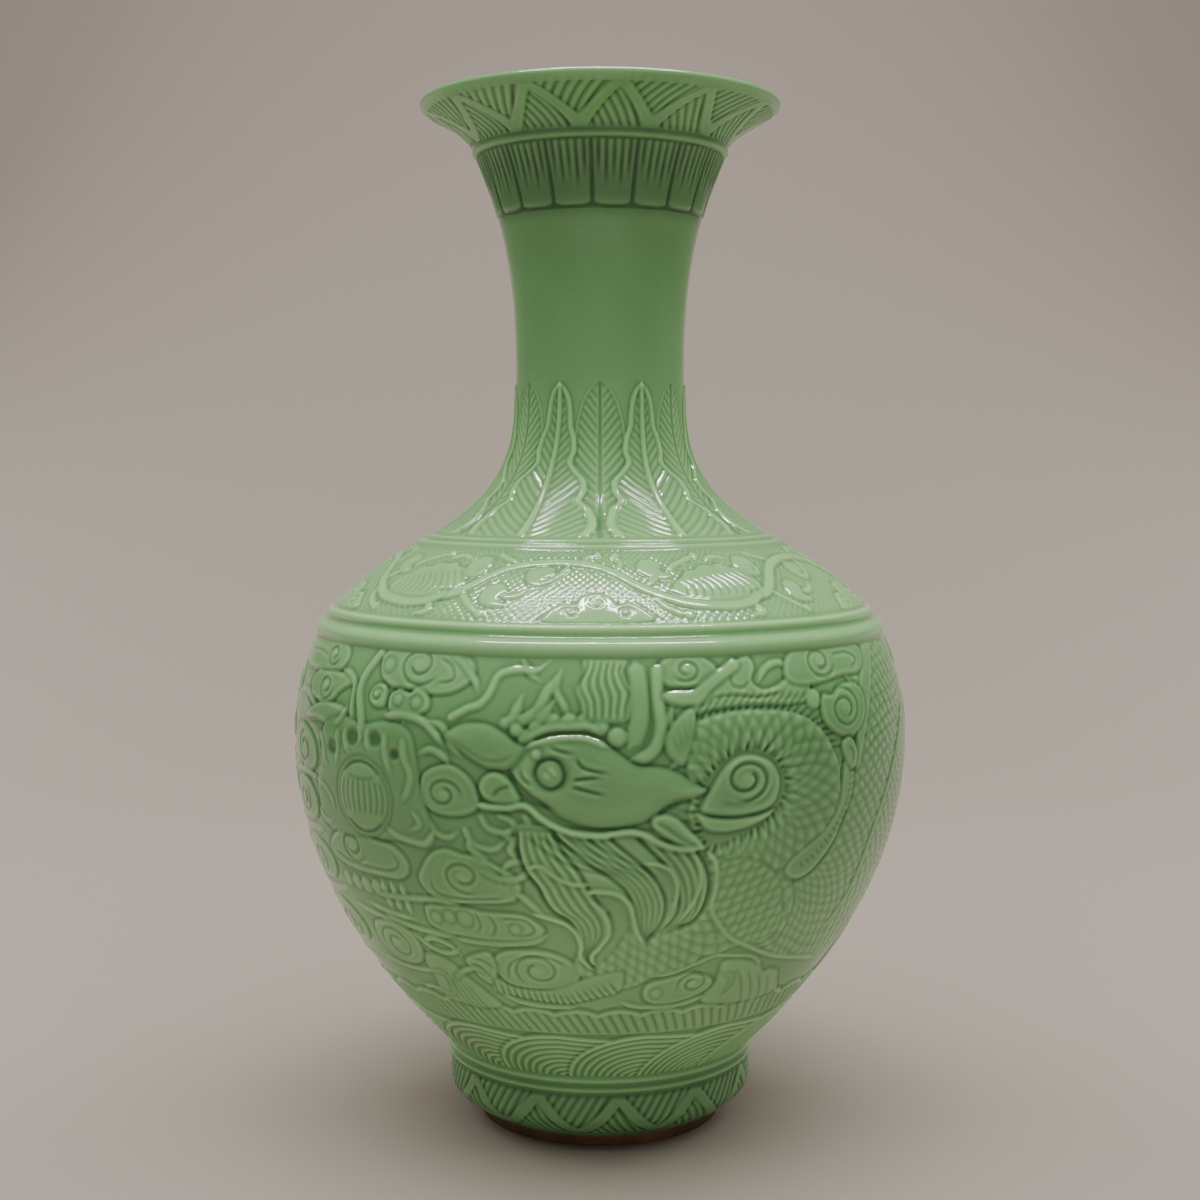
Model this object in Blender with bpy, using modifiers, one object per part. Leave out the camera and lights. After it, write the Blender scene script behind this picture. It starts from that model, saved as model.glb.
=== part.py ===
"""A tall porcelain vase with a round belly, a narrow neck and a trumpet mouth.

The pot is thrown in sections that are luted together with clay slip. Each section is its own
closed solid. Where two sections meet, the lower one ends in a tongue along its inner half and the
upper one in a skirt along its outer half, and a thin ring of slip lies on the shelf between them.

The vase stands on its foot at z = 0, with its axis on +Z. Everything is in metres.
"""

import bpy
import numpy as np

COLLECTION = "porcelain_vase"
SEGMENTS = 40

# Heights of the bands, stacked from the table up.
FOOT_RIM_HEIGHT = 0.0045
FOOT_TAPER_HEIGHT = 0.0105
FOOT_BAND_HEIGHT = 0.0100
FOOT_MOULDING_HEIGHT = 0.0065
BOWL_HEIGHT = 0.0535
LOWER_BELLY_HEIGHT = 0.0700
UPPER_BELLY_HEIGHT = 0.0400
SHOULDER_MOULDING_HEIGHT = 0.0110
SHOULDER_BAND_HEIGHT = 0.0240
NECK_MOULDING_HEIGHT = 0.0035
LEAF_BAND_HEIGHT = 0.0590
NECK_TUBE_HEIGHT = 0.0635
LAPPET_BAND_HEIGHT = 0.0245
MOUTH_RIDGE_HEIGHT = 0.0030
FLARE_HEIGHT = 0.0135
LIP_HEIGHT = 0.0045

# Outer radii. The shoulder hangs on the belly's, so that its curve keeps its form.
FOOT_RIM_RADIUS = 0.0485
FOOT_EDGE_RADIUS = 0.0498
FOOT_RADIUS = 0.0606
BELLY_RADIUS = 0.1211
UPPER_BELLY_FALL = 0.0090
SHOULDER_FALL = 0.0393
MOULDING_RADIUS = BELLY_RADIUS - UPPER_BELLY_FALL
NECK_ROOT_RADIUS = MOULDING_RADIUS - SHOULDER_FALL
NECK_RADIUS = 0.0334
MOUTH_RIDGE_RADIUS = 0.0500
LIP_CENTRE_RADIUS = 0.0694
LIP_ROUND = 0.0016

# How sharply each curve turns towards its wide end.
FOOT_CURVE = 1.8
LOWER_BELLY_CURVE = 2.08
NECK_ROOT_CURVE = 3.4
TRUMPET_CURVE = 2.45
NECK_WAIST_ABOVE_LEAVES = 0.0045

# Walls and the floor inside the foot.
FOOT_WALL = 0.0075
BELLY_WALL = 0.0055
NECK_WALL = 0.0045
LIP_WALL = 0.0035
FOOT_RIM_WIDTH = 0.0070
RECESS_DEPTH = 0.0120
FLOOR_THICKNESS = 0.0070
LEDGE_WIDTH = 0.0030

# Ridges that stand proud of the curve.
FOOT_BEAD = 0.0006
SHOULDER_BEAD = 0.0015
NECK_BEAD = 0.0006
MOUTH_BEAD = 0.0009
LAPPET_PROUD = 0.0006

# Luted joints.
FIT_GAP = 0.0003
SLIP_THICKNESS = 0.0005
TONGUE_HEIGHT = 0.0026
RIM_CHAMFER = 0.0006

BAND_HEIGHTS = (
    ("foot_edge", FOOT_RIM_HEIGHT),
    ("foot_band", FOOT_TAPER_HEIGHT),
    ("foot_moulding", FOOT_BAND_HEIGHT),
    ("belly_start", FOOT_MOULDING_HEIGHT),
    ("bowl_top", BOWL_HEIGHT),
    ("belly", LOWER_BELLY_HEIGHT),
    ("moulding", UPPER_BELLY_HEIGHT),
    ("shoulder", SHOULDER_MOULDING_HEIGHT),
    ("neck_moulding", SHOULDER_BAND_HEIGHT),
    ("leaves", NECK_MOULDING_HEIGHT),
    ("neck_tube", LEAF_BAND_HEIGHT),
    ("lappets", NECK_TUBE_HEIGHT),
    ("mouth_ridge", LAPPET_BAND_HEIGHT),
    ("flare", MOUTH_RIDGE_HEIGHT),
    ("lip", FLARE_HEIGHT),
    ("top", LIP_HEIGHT),
)


def stacked_levels():
    """The height above the table at which each band starts, by name."""
    levels = {"table": 0.0}
    height = 0.0
    for name, step in BAND_HEIGHTS:
        height += step
        levels[name] = height
    levels["waist"] = levels["neck_tube"] + NECK_WAIST_ABOVE_LEAVES
    return levels


LEVEL = stacked_levels()


def share(z, low, high):
    """How far z lies from low to high, from 0 to 1."""
    return np.clip((z - low) / (high - low), 0.0, 1.0)


def body_radius(z):
    """The smooth outer curve, without its ridges: the radius at each height z.

    The belly falls away from its widest line as a power curve below and a parabola above. The
    shoulder goes on with the same slope, and the neck opens to its root and to its mouth as a
    power curve.
    """
    slope = 2 * UPPER_BELLY_FALL / UPPER_BELLY_HEIGHT
    shoulder_length = LEVEL["neck_moulding"] - LEVEL["moulding"]
    shoulder_bend = SHOULDER_FALL - slope * shoulder_length
    trumpet = (MOUTH_RIDGE_RADIUS - NECK_RADIUS) * TRUMPET_CURVE / (LEVEL["flare"] - LEVEL["waist"])
    flare_gain = LIP_CENTRE_RADIUS - LIP_ROUND - MOUTH_RIDGE_RADIUS - trumpet * FLARE_HEIGHT
    foot = FOOT_RADIUS - (FOOT_RADIUS - FOOT_EDGE_RADIUS) * (
        1 - share(z, LEVEL["foot_edge"], LEVEL["foot_band"])
    ) ** FOOT_CURVE
    lower = BELLY_RADIUS - (BELLY_RADIUS - FOOT_RADIUS) * (
        1 - share(z, LEVEL["belly_start"], LEVEL["belly"])
    ) ** LOWER_BELLY_CURVE
    upper = BELLY_RADIUS - UPPER_BELLY_FALL * share(z, LEVEL["belly"], LEVEL["moulding"]) ** 2
    along = share(z, LEVEL["moulding"], LEVEL["neck_moulding"])
    shoulder = MOULDING_RADIUS - slope * shoulder_length * along - shoulder_bend * along**2
    root = NECK_RADIUS + (NECK_ROOT_RADIUS - NECK_RADIUS) * (
        1 - share(z, LEVEL["neck_moulding"], LEVEL["waist"])
    ) ** NECK_ROOT_CURVE
    mouth = NECK_RADIUS + (MOUTH_RIDGE_RADIUS - NECK_RADIUS) * (
        share(z, LEVEL["waist"], LEVEL["flare"]) ** TRUMPET_CURVE
    )
    above = np.maximum(z - LEVEL["flare"], 0.0)
    flare = MOUTH_RIDGE_RADIUS + trumpet * above + flare_gain * (above / FLARE_HEIGHT) ** 2
    return np.select(
        [
            z < LEVEL["belly_start"],
            z < LEVEL["belly"],
            z < LEVEL["moulding"],
            z < LEVEL["neck_moulding"],
            z < LEVEL["waist"],
            z < LEVEL["flare"],
        ],
        [foot, lower, upper, shoulder, root, mouth],
        flare,
    )


def bead(z, low, high, height):
    """A half-round ridge from low to high: a sine arch."""
    return height * np.sin(np.pi * share(z, low, high))


def ridges(z):
    """How far the turned mouldings stand proud of the smooth curve at each height z."""
    foot = LEVEL["foot_moulding"]
    shoulder = LEVEL["moulding"]
    neck = LEVEL["neck_moulding"]
    mouth = LEVEL["mouth_ridge"]
    total = bead(z, foot, foot + 0.3 * FOOT_MOULDING_HEIGHT, FOOT_BEAD)
    total = total + bead(z, foot + 0.55 * FOOT_MOULDING_HEIGHT, LEVEL["belly_start"], FOOT_BEAD)
    total = total + bead(z, shoulder, shoulder + 0.6 * SHOULDER_MOULDING_HEIGHT, SHOULDER_BEAD)
    total = total + bead(
        z, shoulder + 0.72 * SHOULDER_MOULDING_HEIGHT, LEVEL["shoulder"], 0.8 * SHOULDER_BEAD
    )
    total = total + bead(z, neck, neck + 0.5 * NECK_MOULDING_HEIGHT, NECK_BEAD)
    total = total + bead(z, neck + 0.5 * NECK_MOULDING_HEIGHT, LEVEL["leaves"], NECK_BEAD)
    total = total + bead(z, mouth, LEVEL["flare"], MOUTH_BEAD)
    lappet_edge = share(z, LEVEL["lappets"], LEVEL["lappets"] + LAPPET_PROUD)
    return total + LAPPET_PROUD * lappet_edge * (z < LEVEL["mouth_ridge"])


def wall_thickness(z):
    """The wall's thickness: thick at the foot, thinner up the belly, thinnest in the neck."""
    names = ("foot_moulding", "belly", "neck_moulding", "neck_tube", "flare", "lip")
    walls = (FOOT_WALL, BELLY_WALL, BELLY_WALL, NECK_WALL, NECK_WALL, LIP_WALL)
    return np.interp(z, [LEVEL[name] for name in names], walls)


def wall_point(z, depth=0.0):
    """The point of the wall at height z on the outer curve, a share depth of the way inwards.

    Depth 0 is the outer face with its ridges and depth 1 the inner face. Between them the point
    lies on the curve's normal, so the wall keeps its thickness where it leans.
    """
    step = 1e-5
    slope = (body_radius(z + step) - body_radius(z - step)) / (2 * step)
    length = np.hypot(1.0, slope)
    inward = depth * wall_thickness(z)
    radius = body_radius(z) - inward / length + (ridges(z) if depth == 0.0 else 0.0)
    return float(radius), float(z + inward * slope / length)


def along_wall(z, distance):
    """The height reached by going this far up the outer curve from height z."""
    step = 1e-5
    slope = (body_radius(z + step) - body_radius(z - step)) / (2 * step)
    return z + distance / np.hypot(1.0, slope)


def lower_joint(z):
    """The end of the section above a joint at z, outer face to inner: a skirt, then a step up."""
    skirt = along_wall(z, SLIP_THICKNESS / 2 + FIT_GAP)
    roof = along_wall(z, TONGUE_HEIGHT + FIT_GAP)
    edge = 0.5 - FIT_GAP / 2 / wall_thickness(z)
    return [wall_point(skirt), wall_point(skirt, edge), wall_point(roof, edge), wall_point(roof, 1.0)]


def upper_joint(z):
    """The end of the section below a joint at z, inner face to outer: a tongue, then a shelf."""
    shelf = along_wall(z, -SLIP_THICKNESS / 2 - FIT_GAP)
    tip = along_wall(z, TONGUE_HEIGHT)
    edge = 0.5 + FIT_GAP / 2 / wall_thickness(z)
    return [wall_point(tip, 1.0), wall_point(tip, edge), wall_point(shelf, edge), wall_point(shelf)]


def slip_profile(z):
    """The ring of slip on the shelf of a joint at z."""
    low = along_wall(z, -SLIP_THICKNESS / 2)
    high = along_wall(z, SLIP_THICKNESS / 2)
    edge = 0.5 - FIT_GAP / 2 / wall_thickness(z)
    return [wall_point(high), wall_point(low), wall_point(low, edge), wall_point(high, edge)]


def between(start, stop, count):
    """Heights strictly between two levels, evenly spaced."""
    return np.linspace(start, stop, count + 2)[1:-1]


def section_profile(low, high, outer, inner):
    """A section between two joints: its outer face down, lower joint, inner face up, upper joint."""
    down = [wall_point(z) for z in outer[::-1]]
    up = [wall_point(z, 1.0) for z in inner]
    return down + lower_joint(low) + up + upper_joint(high)


def porcelain(name, colour, roughness):
    """A glazed or bare ceramic, as a Principled BSDF."""
    material = bpy.data.materials.new(name)
    material.use_nodes = True
    shader = material.node_tree.nodes["Principled BSDF"]
    shader.inputs["Base Color"].default_value = (*colour, 1.0)
    shader.inputs["Roughness"].default_value = roughness
    shader.inputs["Metallic"].default_value = 0.0
    return material


def turned(name, profile, material, parts, closed=True):
    """Spins a profile of (radius, height) points round the axis into a solid."""
    points = [(radius, 0.0, height) for radius, height in profile]
    edges = [(i, i + 1) for i in range(len(points) - 1)]
    if closed:
        edges.append((len(points) - 1, 0))
    mesh = bpy.data.meshes.new(name)
    mesh.from_pydata(points, edges, [])
    piece = bpy.data.objects.new(name, mesh)
    piece.data.materials.append(material)
    parts.objects.link(piece)
    screw = piece.modifiers.new("Turn", "SCREW")
    screw.axis = "Z"
    screw.steps = SEGMENTS
    screw.render_steps = SEGMENTS
    screw.use_merge_vertices = True
    screw.merge_threshold = 0.00001
    screw.use_smooth_shade = True
    return piece


def foot_rim_profile():
    """The bare ring that the vase stands on, with both lower edges broken."""
    inner = FOOT_RIM_RADIUS - FOOT_RIM_WIDTH
    top = FOOT_RIM_HEIGHT - FIT_GAP
    return [
        (FOOT_EDGE_RADIUS, top),
        (FOOT_RIM_RADIUS, RIM_CHAMFER),
        (FOOT_RIM_RADIUS - RIM_CHAMFER, 0.0),
        (inner + RIM_CHAMFER, 0.0),
        (inner, RIM_CHAMFER),
        (inner, top),
    ]


def floor_radius():
    """The radius of the floor's seat inside the foot wall."""
    inner_radius, _ = wall_point(LEVEL["foot_band"], 1.0)
    return inner_radius


def foot_wall_profile():
    """The glazed foot: its outer taper and band, and inside it the ledge that carries the floor."""
    seat = floor_radius()
    ledge = seat - LEDGE_WIDTH
    rim_inner = FOOT_RIM_RADIUS - FOOT_RIM_WIDTH
    moulding = LEVEL["foot_moulding"]
    outer = list(between(LEVEL["foot_edge"], LEVEL["foot_band"], 3))
    outer += [LEVEL["foot_band"], moulding, moulding + 0.15 * FOOT_MOULDING_HEIGHT]
    outer_points = [wall_point(z) for z in outer[::-1]]
    inner_points = [
        (FOOT_EDGE_RADIUS, FOOT_RIM_HEIGHT),
        (rim_inner, FOOT_RIM_HEIGHT),
        (ledge, RECESS_DEPTH - LEDGE_WIDTH),
        (ledge, RECESS_DEPTH),
        (seat, RECESS_DEPTH),
        wall_point(moulding, 1.0),
    ]
    return outer_points + inner_points + upper_joint(foot_joint())


def floor_profile():
    """The round floor of the vase, from the axis out along its top and back along its underside."""
    edge = floor_radius() - FIT_GAP
    low = RECESS_DEPTH + 2 * FIT_GAP + SLIP_THICKNESS
    return [(0.0, low + FLOOR_THICKNESS), (edge, low + FLOOR_THICKNESS), (edge, low), (0.0, low)]


def floor_slip_profile():
    """The slip under the floor's edge, on the ledge."""
    outer = floor_radius() - FIT_GAP
    inner = outer - LEDGE_WIDTH + 2 * FIT_GAP
    low = RECESS_DEPTH + FIT_GAP
    high = low + SLIP_THICKNESS
    return [(outer, high), (outer, low), (inner, low), (inner, high)]


def foot_joint():
    """The joint in the groove between the two ridges of the foot."""
    return LEVEL["foot_moulding"] + 0.42 * FOOT_MOULDING_HEIGHT


def shoulder_joint():
    """The joint in the groove between the two beads of the shoulder."""
    return LEVEL["moulding"] + 0.66 * SHOULDER_MOULDING_HEIGHT


def belly_bowl_profile():
    """The open bowl that rises from the foot's upper ridge."""
    low = foot_joint()
    high = LEVEL["bowl_top"]
    start = LEVEL["belly_start"]
    bead_start = LEVEL["foot_moulding"] + 0.55 * FOOT_MOULDING_HEIGHT
    outer = [bead_start, (bead_start + start) / 2, start, *between(start, high, 4)]
    return section_profile(low, high, outer, between(start, high, 3))


def lower_belly_profile():
    """From the bowl to the widest line."""
    low = LEVEL["bowl_top"]
    high = LEVEL["belly"]
    return section_profile(low, high, between(low, high, 5), between(low, high, 4))


def upper_belly_profile():
    """From the widest line to the groove in the shoulder's moulding."""
    low = LEVEL["belly"]
    high = shoulder_joint()
    bead_top = LEVEL["moulding"] + 0.3 * SHOULDER_MOULDING_HEIGHT
    outer = [*between(low, LEVEL["moulding"], 4), LEVEL["moulding"], bead_top]
    return section_profile(low, high, outer, between(low, high, 4))


def shoulder_profile():
    """The upper bead and the sloping band that carries the scrolls."""
    low = shoulder_joint()
    high = LEVEL["neck_moulding"]
    bead_top = LEVEL["moulding"] + 0.86 * SHOULDER_MOULDING_HEIGHT
    outer = [bead_top, LEVEL["shoulder"], *between(LEVEL["shoulder"], high, 4)]
    return section_profile(low, high, outer, between(LEVEL["shoulder"], high, 3))


def neck_root_profile():
    """The double ridge and the hollow curve that carries the upright leaves."""
    low = LEVEL["neck_moulding"]
    high = LEVEL["neck_tube"]
    outer = [low + 0.5 * NECK_MOULDING_HEIGHT, low + 0.75 * NECK_MOULDING_HEIGHT, LEVEL["leaves"]]
    outer += list(LEVEL["leaves"] + LEAF_BAND_HEIGHT * np.linspace(0.1, 0.95, 8) ** 1.3)
    return section_profile(low, high, outer, low + (high - low) * np.linspace(0.14, 0.93, 7) ** 1.2)


def neck_tube_profile():
    """The plain part of the neck."""
    low = LEVEL["neck_tube"]
    high = LEVEL["lappets"]
    return section_profile(low, high, between(low, high, 5), between(low, high, 4))


def mouth_profile():
    """The lappet band, its ridge, the flaring mouth and the rounded lip."""
    low = LEVEL["lappets"]
    ridge = LEVEL["mouth_ridge"]
    outer = [low + 2 * LAPPET_PROUD, *between(low, ridge, 3), ridge]
    outer += [ridge + 0.25 * MOUTH_RIDGE_HEIGHT, ridge + 0.75 * MOUTH_RIDGE_HEIGHT]
    outer += [LEVEL["flare"], *between(LEVEL["flare"], LEVEL["lip"], 3)]
    lip_centre = LEVEL["top"] - LIP_ROUND
    turn = np.radians(np.linspace(150.0, -75.0, 7))
    lip = [(LIP_CENTRE_RADIUS + LIP_ROUND * np.cos(a), lip_centre + LIP_ROUND * np.sin(a)) for a in turn]
    down = [wall_point(z) for z in outer[::-1]]
    inner = [*between(low, LEVEL["flare"], 5), *between(LEVEL["flare"], LEVEL["lip"], 3)]
    up = [wall_point(z, 1.0) for z in inner]
    return lip + down + lower_joint(low) + up


def clear_scene():
    """Removes what the scene holds."""
    for existing in list(bpy.data.objects):
        bpy.data.objects.remove(existing)


def main():
    """Builds every section, the floor and the slip between them."""
    clear_scene()
    parts = bpy.data.collections.new(COLLECTION)
    bpy.context.scene.collection.children.link(parts)
    celadon = (0.15, 0.36, 0.15)
    sections = (
        ("mouth", mouth_profile(), (0.17, 0.38, 0.17), 0.16),
        ("neck_tube", neck_tube_profile(), (0.14, 0.36, 0.14), 0.12),
        ("neck_root", neck_root_profile(), celadon, 0.14),
        ("shoulder", shoulder_profile(), celadon, 0.15),
        ("upper_belly", upper_belly_profile(), (0.16, 0.37, 0.15), 0.16),
        ("lower_belly", lower_belly_profile(), (0.14, 0.34, 0.14), 0.17),
        ("belly_bowl", belly_bowl_profile(), (0.13, 0.32, 0.13), 0.17),
        ("foot_wall", foot_wall_profile(), (0.11, 0.28, 0.12), 0.16),
        ("foot_rim", foot_rim_profile(), (0.05, 0.025, 0.015), 0.75),
    )
    for name, profile, colour, roughness in sections:
        turned(name, profile, porcelain(name + "_glaze", colour, roughness), parts)
    floor_glaze = porcelain("base_floor_glaze", (0.20, 0.38, 0.20), 0.2)
    turned("base_floor", floor_profile(), floor_glaze, parts, closed=False)
    joints = (
        ("slip_foot", slip_profile(foot_joint())),
        ("slip_bowl", slip_profile(LEVEL["bowl_top"])),
        ("slip_belly", slip_profile(LEVEL["belly"])),
        ("slip_shoulder", slip_profile(shoulder_joint())),
        ("slip_neck_root", slip_profile(LEVEL["neck_moulding"])),
        ("slip_neck_tube", slip_profile(LEVEL["neck_tube"])),
        ("slip_mouth", slip_profile(LEVEL["lappets"])),
        ("slip_floor", floor_slip_profile()),
    )
    for name, profile in joints:
        turned(name, profile, porcelain(name + "_clay", (0.62, 0.58, 0.50), 0.8), parts)


main()
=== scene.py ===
# %% [markdown]
# A tall carved celadon vase, about 40 cm high.
#
# The pot is thrown in porcelain, then its wall is carved while the clay is leather hard: a key
# fret of hatched triangles on the foot and below the lip, a row of waves, two dragons that chase
# flaming pearls through clouds, a vine on the shoulder, upright leaves and hanging petals on the
# neck. A thick green glaze runs off the high places and pools in the cuts. That is all the colour
# there is, so the carving has to be real relief, and the glaze has to know how deep it lies.
#
# The solid model gives the pot's size and its outer line. Here every band of the wall is made
# again as a fine grid wrapped round that line, and pushed in and out by the depth of the carving.

import bpy
import numpy as np
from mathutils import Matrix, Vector


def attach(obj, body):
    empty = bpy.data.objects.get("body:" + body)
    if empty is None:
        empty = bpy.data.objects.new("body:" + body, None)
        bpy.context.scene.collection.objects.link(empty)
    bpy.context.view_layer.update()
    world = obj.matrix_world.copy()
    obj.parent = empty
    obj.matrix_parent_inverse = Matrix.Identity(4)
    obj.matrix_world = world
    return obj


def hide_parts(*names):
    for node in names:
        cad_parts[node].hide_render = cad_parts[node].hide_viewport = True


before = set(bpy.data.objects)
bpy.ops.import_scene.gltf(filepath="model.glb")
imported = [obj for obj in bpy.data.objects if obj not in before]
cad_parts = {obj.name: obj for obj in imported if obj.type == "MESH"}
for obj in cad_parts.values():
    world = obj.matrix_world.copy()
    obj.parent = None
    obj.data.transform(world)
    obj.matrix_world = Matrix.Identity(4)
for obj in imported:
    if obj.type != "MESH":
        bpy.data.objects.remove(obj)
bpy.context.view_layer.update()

# %% [markdown]
# The outer line of the pot, from the table up. A potter checks it with a rib cut to the same
# curve. Each stretch is a power curve: it leaves one radius slowly and turns sharply towards its
# wide end. Heights and radii are in millimetres, as a potter would note them, and meshes are
# turned to metres at the last step.

# %% Heights and radii of the pot
MM = 0.001
FOOT_EDGE, FOOT_BAND, FOOT_GROOVE, BELLY_START = 4.5, 15.0, 25.0, 31.5
WAVE_TOP, BELLY, MOULDING, SHOULDER = 54.5, 155.0, 195.0, 206.0
NECK_RING, LEAVES, LEAF_TOP, WAIST = 230.0, 233.5, 292.5, 297.0
PETALS, MOUTH_RING, FLARE, LIP, TOP = 356.0, 380.5, 383.5, 397.0, 401.5
R_FOOT_EDGE, R_FOOT, R_BELLY = 49.8, 60.6, 121.1
R_MOULDING, R_NECK_RING, R_NECK = 112.1, 72.8, 33.4
R_MOUTH_RING, R_LIP, LIP_ROUND = 50.0, 69.4, 1.6
FLOOR_UNDERSIDE, FLOOR_TOP = 13.1, 20.1
R_INSIDE_FOOT, R_RECESS, RECESS_STEP = 44.3, 41.5, 9.0
FOOT_CURVE, BELLY_CURVE, ROOT_CURVE, TRUMPET_CURVE = 1.8, 2.08, 3.4, 2.45
R_FOOT_RIM, FOOT_RIM_WIDTH = 48.5, 7.0


# %% The outer line
def part_way(z, low, high):
    """How far z lies from low to high, held between 0 and 1."""
    return np.clip((z - low) / (high - low), 0.0, 1.0)


def outer_radius(z):
    """Radius at height z, as wide end minus (wide end - narrow end) times (1 - way) to a power.

    The upper belly is a parabola, and the shoulder goes on with its slope and bends further.
    """
    slope = 2 * (R_BELLY - R_MOULDING) / (MOULDING - BELLY)
    fall = slope * (NECK_RING - MOULDING)
    bend = R_MOULDING - R_NECK_RING - fall
    trumpet = (R_MOUTH_RING - R_NECK) * TRUMPET_CURVE / (FLARE - WAIST)
    gain = R_LIP - LIP_ROUND - R_MOUTH_RING - trumpet * (LIP - FLARE)
    along = part_way(z, MOULDING, NECK_RING)
    above = np.maximum(z - FLARE, 0.0)
    foot = R_FOOT - (R_FOOT - R_FOOT_EDGE) * (1 - part_way(z, FOOT_EDGE, FOOT_BAND)) ** FOOT_CURVE
    lower = R_BELLY - (R_BELLY - R_FOOT) * (1 - part_way(z, BELLY_START, BELLY)) ** BELLY_CURVE
    upper = R_BELLY - (R_BELLY - R_MOULDING) * part_way(z, BELLY, MOULDING) ** 2
    shoulder = R_MOULDING - fall * along - bend * along**2
    root = R_NECK + (R_NECK_RING - R_NECK) * (1 - part_way(z, NECK_RING, WAIST)) ** ROOT_CURVE
    mouth = R_NECK + (R_MOUTH_RING - R_NECK) * part_way(z, WAIST, FLARE) ** TRUMPET_CURVE
    flare = R_MOUTH_RING + trumpet * above + gain * (above / (LIP - FLARE)) ** 2
    levels = [z < BELLY_START, z < BELLY, z < MOULDING, z < NECK_RING, z < WAIST, z < FLARE]
    return np.select(levels, [foot, lower, upper, shoulder, root, mouth], flare)


def run_up(z):
    """The length of the outer line from the table to each height z: the sum of its small chords."""
    return np.concatenate([[0.0], np.cumsum(np.hypot(np.diff(z), np.diff(outer_radius(z))))])


LINE_Z = np.linspace(0.0, LIP + 1.0, 8000)
LINE_RUN = run_up(LINE_Z)


def run_at(z):
    """How far up the outer line height z lies."""
    return float(np.interp(z, LINE_Z, LINE_RUN))


def line_at(run):
    """Radius, height and outward direction at each run up the line.

    The direction is the line's tangent, taken over a millimetre each way, turned a quarter.
    """
    z = np.interp(run, LINE_RUN, LINE_Z)
    up = np.interp(run + 1.0, LINE_RUN, LINE_Z)
    down = np.interp(run - 1.0, LINE_RUN, LINE_Z)
    rise, out = up - down, outer_radius(up) - outer_radius(down)
    length = np.hypot(rise, out)
    return outer_radius(z), z, rise / length, -out / length


print("length of the outer line", round(LINE_RUN[-1], 1), "mm")

# %% [markdown]
# The turned rings between the bands: two on the foot, a bold pair on the shoulder, a fine pair at
# the neck's root and one under the mouth. A turner cuts each with a hollow tool, so in section it
# is half a circle: a sine arch on the wall.


# %% Turned rings
def arch(z, low, high, height):
    """A half-round ring between two heights: height times sin(pi times the way across)."""
    return height * np.sin(np.pi * part_way(z, low, high))


def turned_rings(z):
    """Every ring of the pot at height z."""
    rings = (
        (FOOT_GROOVE, FOOT_GROOVE + 2.6, 0.9),
        (FOOT_GROOVE + 3.4, BELLY_START, 0.9),
        (MOULDING, MOULDING + 6.6, 1.9),
        (MOULDING + 7.6, SHOULDER, 1.5),
        (NECK_RING, NECK_RING + 1.7, 0.8),
        (NECK_RING + 1.8, LEAVES, 0.8),
        (MOUTH_RING, FLARE, 1.1),
    )
    return sum(arch(z, low, high, height) for low, high, height in rings)


# %% [markdown]
# Carving is drawn on a flat sheet first, as a carver pricks a paper pattern on the pot. The sheet's
# x runs round the pot and its y up the wall, both in millimetres, and a height is stored at each
# point of a grid. A few tools do all the work: a cord laid on the clay, a pad cut out of a thinner
# slab, a ball, a gouge cut, and a comb that draws many gouge cuts between two lines. Each works out
# how far every point of the grid lies from a drawn line, which numpy does for the whole patch at
# once.


# %% Drawn lines
def flowing(points, closed=False, step=0.9):
    """A smooth line through given points: Catmull-Rom.

    Between p1 and p2 it is half of 2 p1 + (p2 - p0) t + (2 p0 - 5 p1 + 4 p2 - p3) t^2
    + (3 p1 - p0 - 3 p2 + p3) t^3, for t from 0 to 1.
    """
    p = np.asarray(points, float)
    if closed:
        p = np.vstack([p[-1], p, p[0], p[1]])
    else:
        p = np.vstack([2 * p[0] - p[1], p, 2 * p[-1] - p[-2]])
    pieces = []
    for i in range(len(p) - 3):
        count = max(2, int(np.ceil(np.hypot(*(p[i + 2] - p[i + 1])) / step)))
        t = np.linspace(0.0, 1.0, count, endpoint=False)[:, None]
        pieces.append(
            0.5 * (2 * p[i + 1] + (p[i + 2] - p[i]) * t
                   + (2 * p[i] - 5 * p[i + 1] + 4 * p[i + 2] - p[i + 3]) * t**2
                   + (3 * p[i + 1] - p[i] - 3 * p[i + 2] + p[i + 3]) * t**3)
        )
    return np.vstack([*pieces, p[-2]])


def nearest(line, x, y):
    """For each point: its distance from the line, the run along it in mm, and its side (+ left)."""
    start, step = line[:-1], np.diff(line, axis=0)
    square = np.maximum((step**2).sum(1), 1e-9)
    dx, dy = x[..., None] - start[:, 0], y[..., None] - start[:, 1]
    t = np.clip((dx * step[:, 0] + dy * step[:, 1]) / square, 0.0, 1.0)
    away = (dx - t * step[:, 0]) ** 2 + (dy - t * step[:, 1]) ** 2
    best = away.argmin(-1)[..., None]
    length = np.sqrt(square)
    run = np.concatenate([[0.0], np.cumsum(length)[:-1]])
    at = np.take_along_axis(run + t * length, best, -1)[..., 0]
    turn = np.take_along_axis(step[:, 0] * dy - step[:, 1] * dx, best, -1)[..., 0]
    return np.sqrt(np.take_along_axis(away, best, -1)[..., 0]), at, np.sign(turn)


def within(outline, x, y):
    """True inside a closed outline: a ray to the right crosses it an odd number of times."""
    ax, ay = outline[:, 0], outline[:, 1]
    bx, by = np.roll(ax, -1), np.roll(ay, -1)
    yy = y[..., None]
    crosses = (ay > yy) != (by > yy)
    where = ax + (yy - ay) * (bx - ax) / np.where(by == ay, 1e-9, by - ay)
    return (crosses & (x[..., None] < where)).sum(-1) % 2 == 1


def ease(t):
    """A soft step from 0 to 1: 3 t^2 - 2 t^3."""
    t = np.clip(t, 0.0, 1.0)
    return t * t * (3.0 - 2.0 * t)


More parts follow.
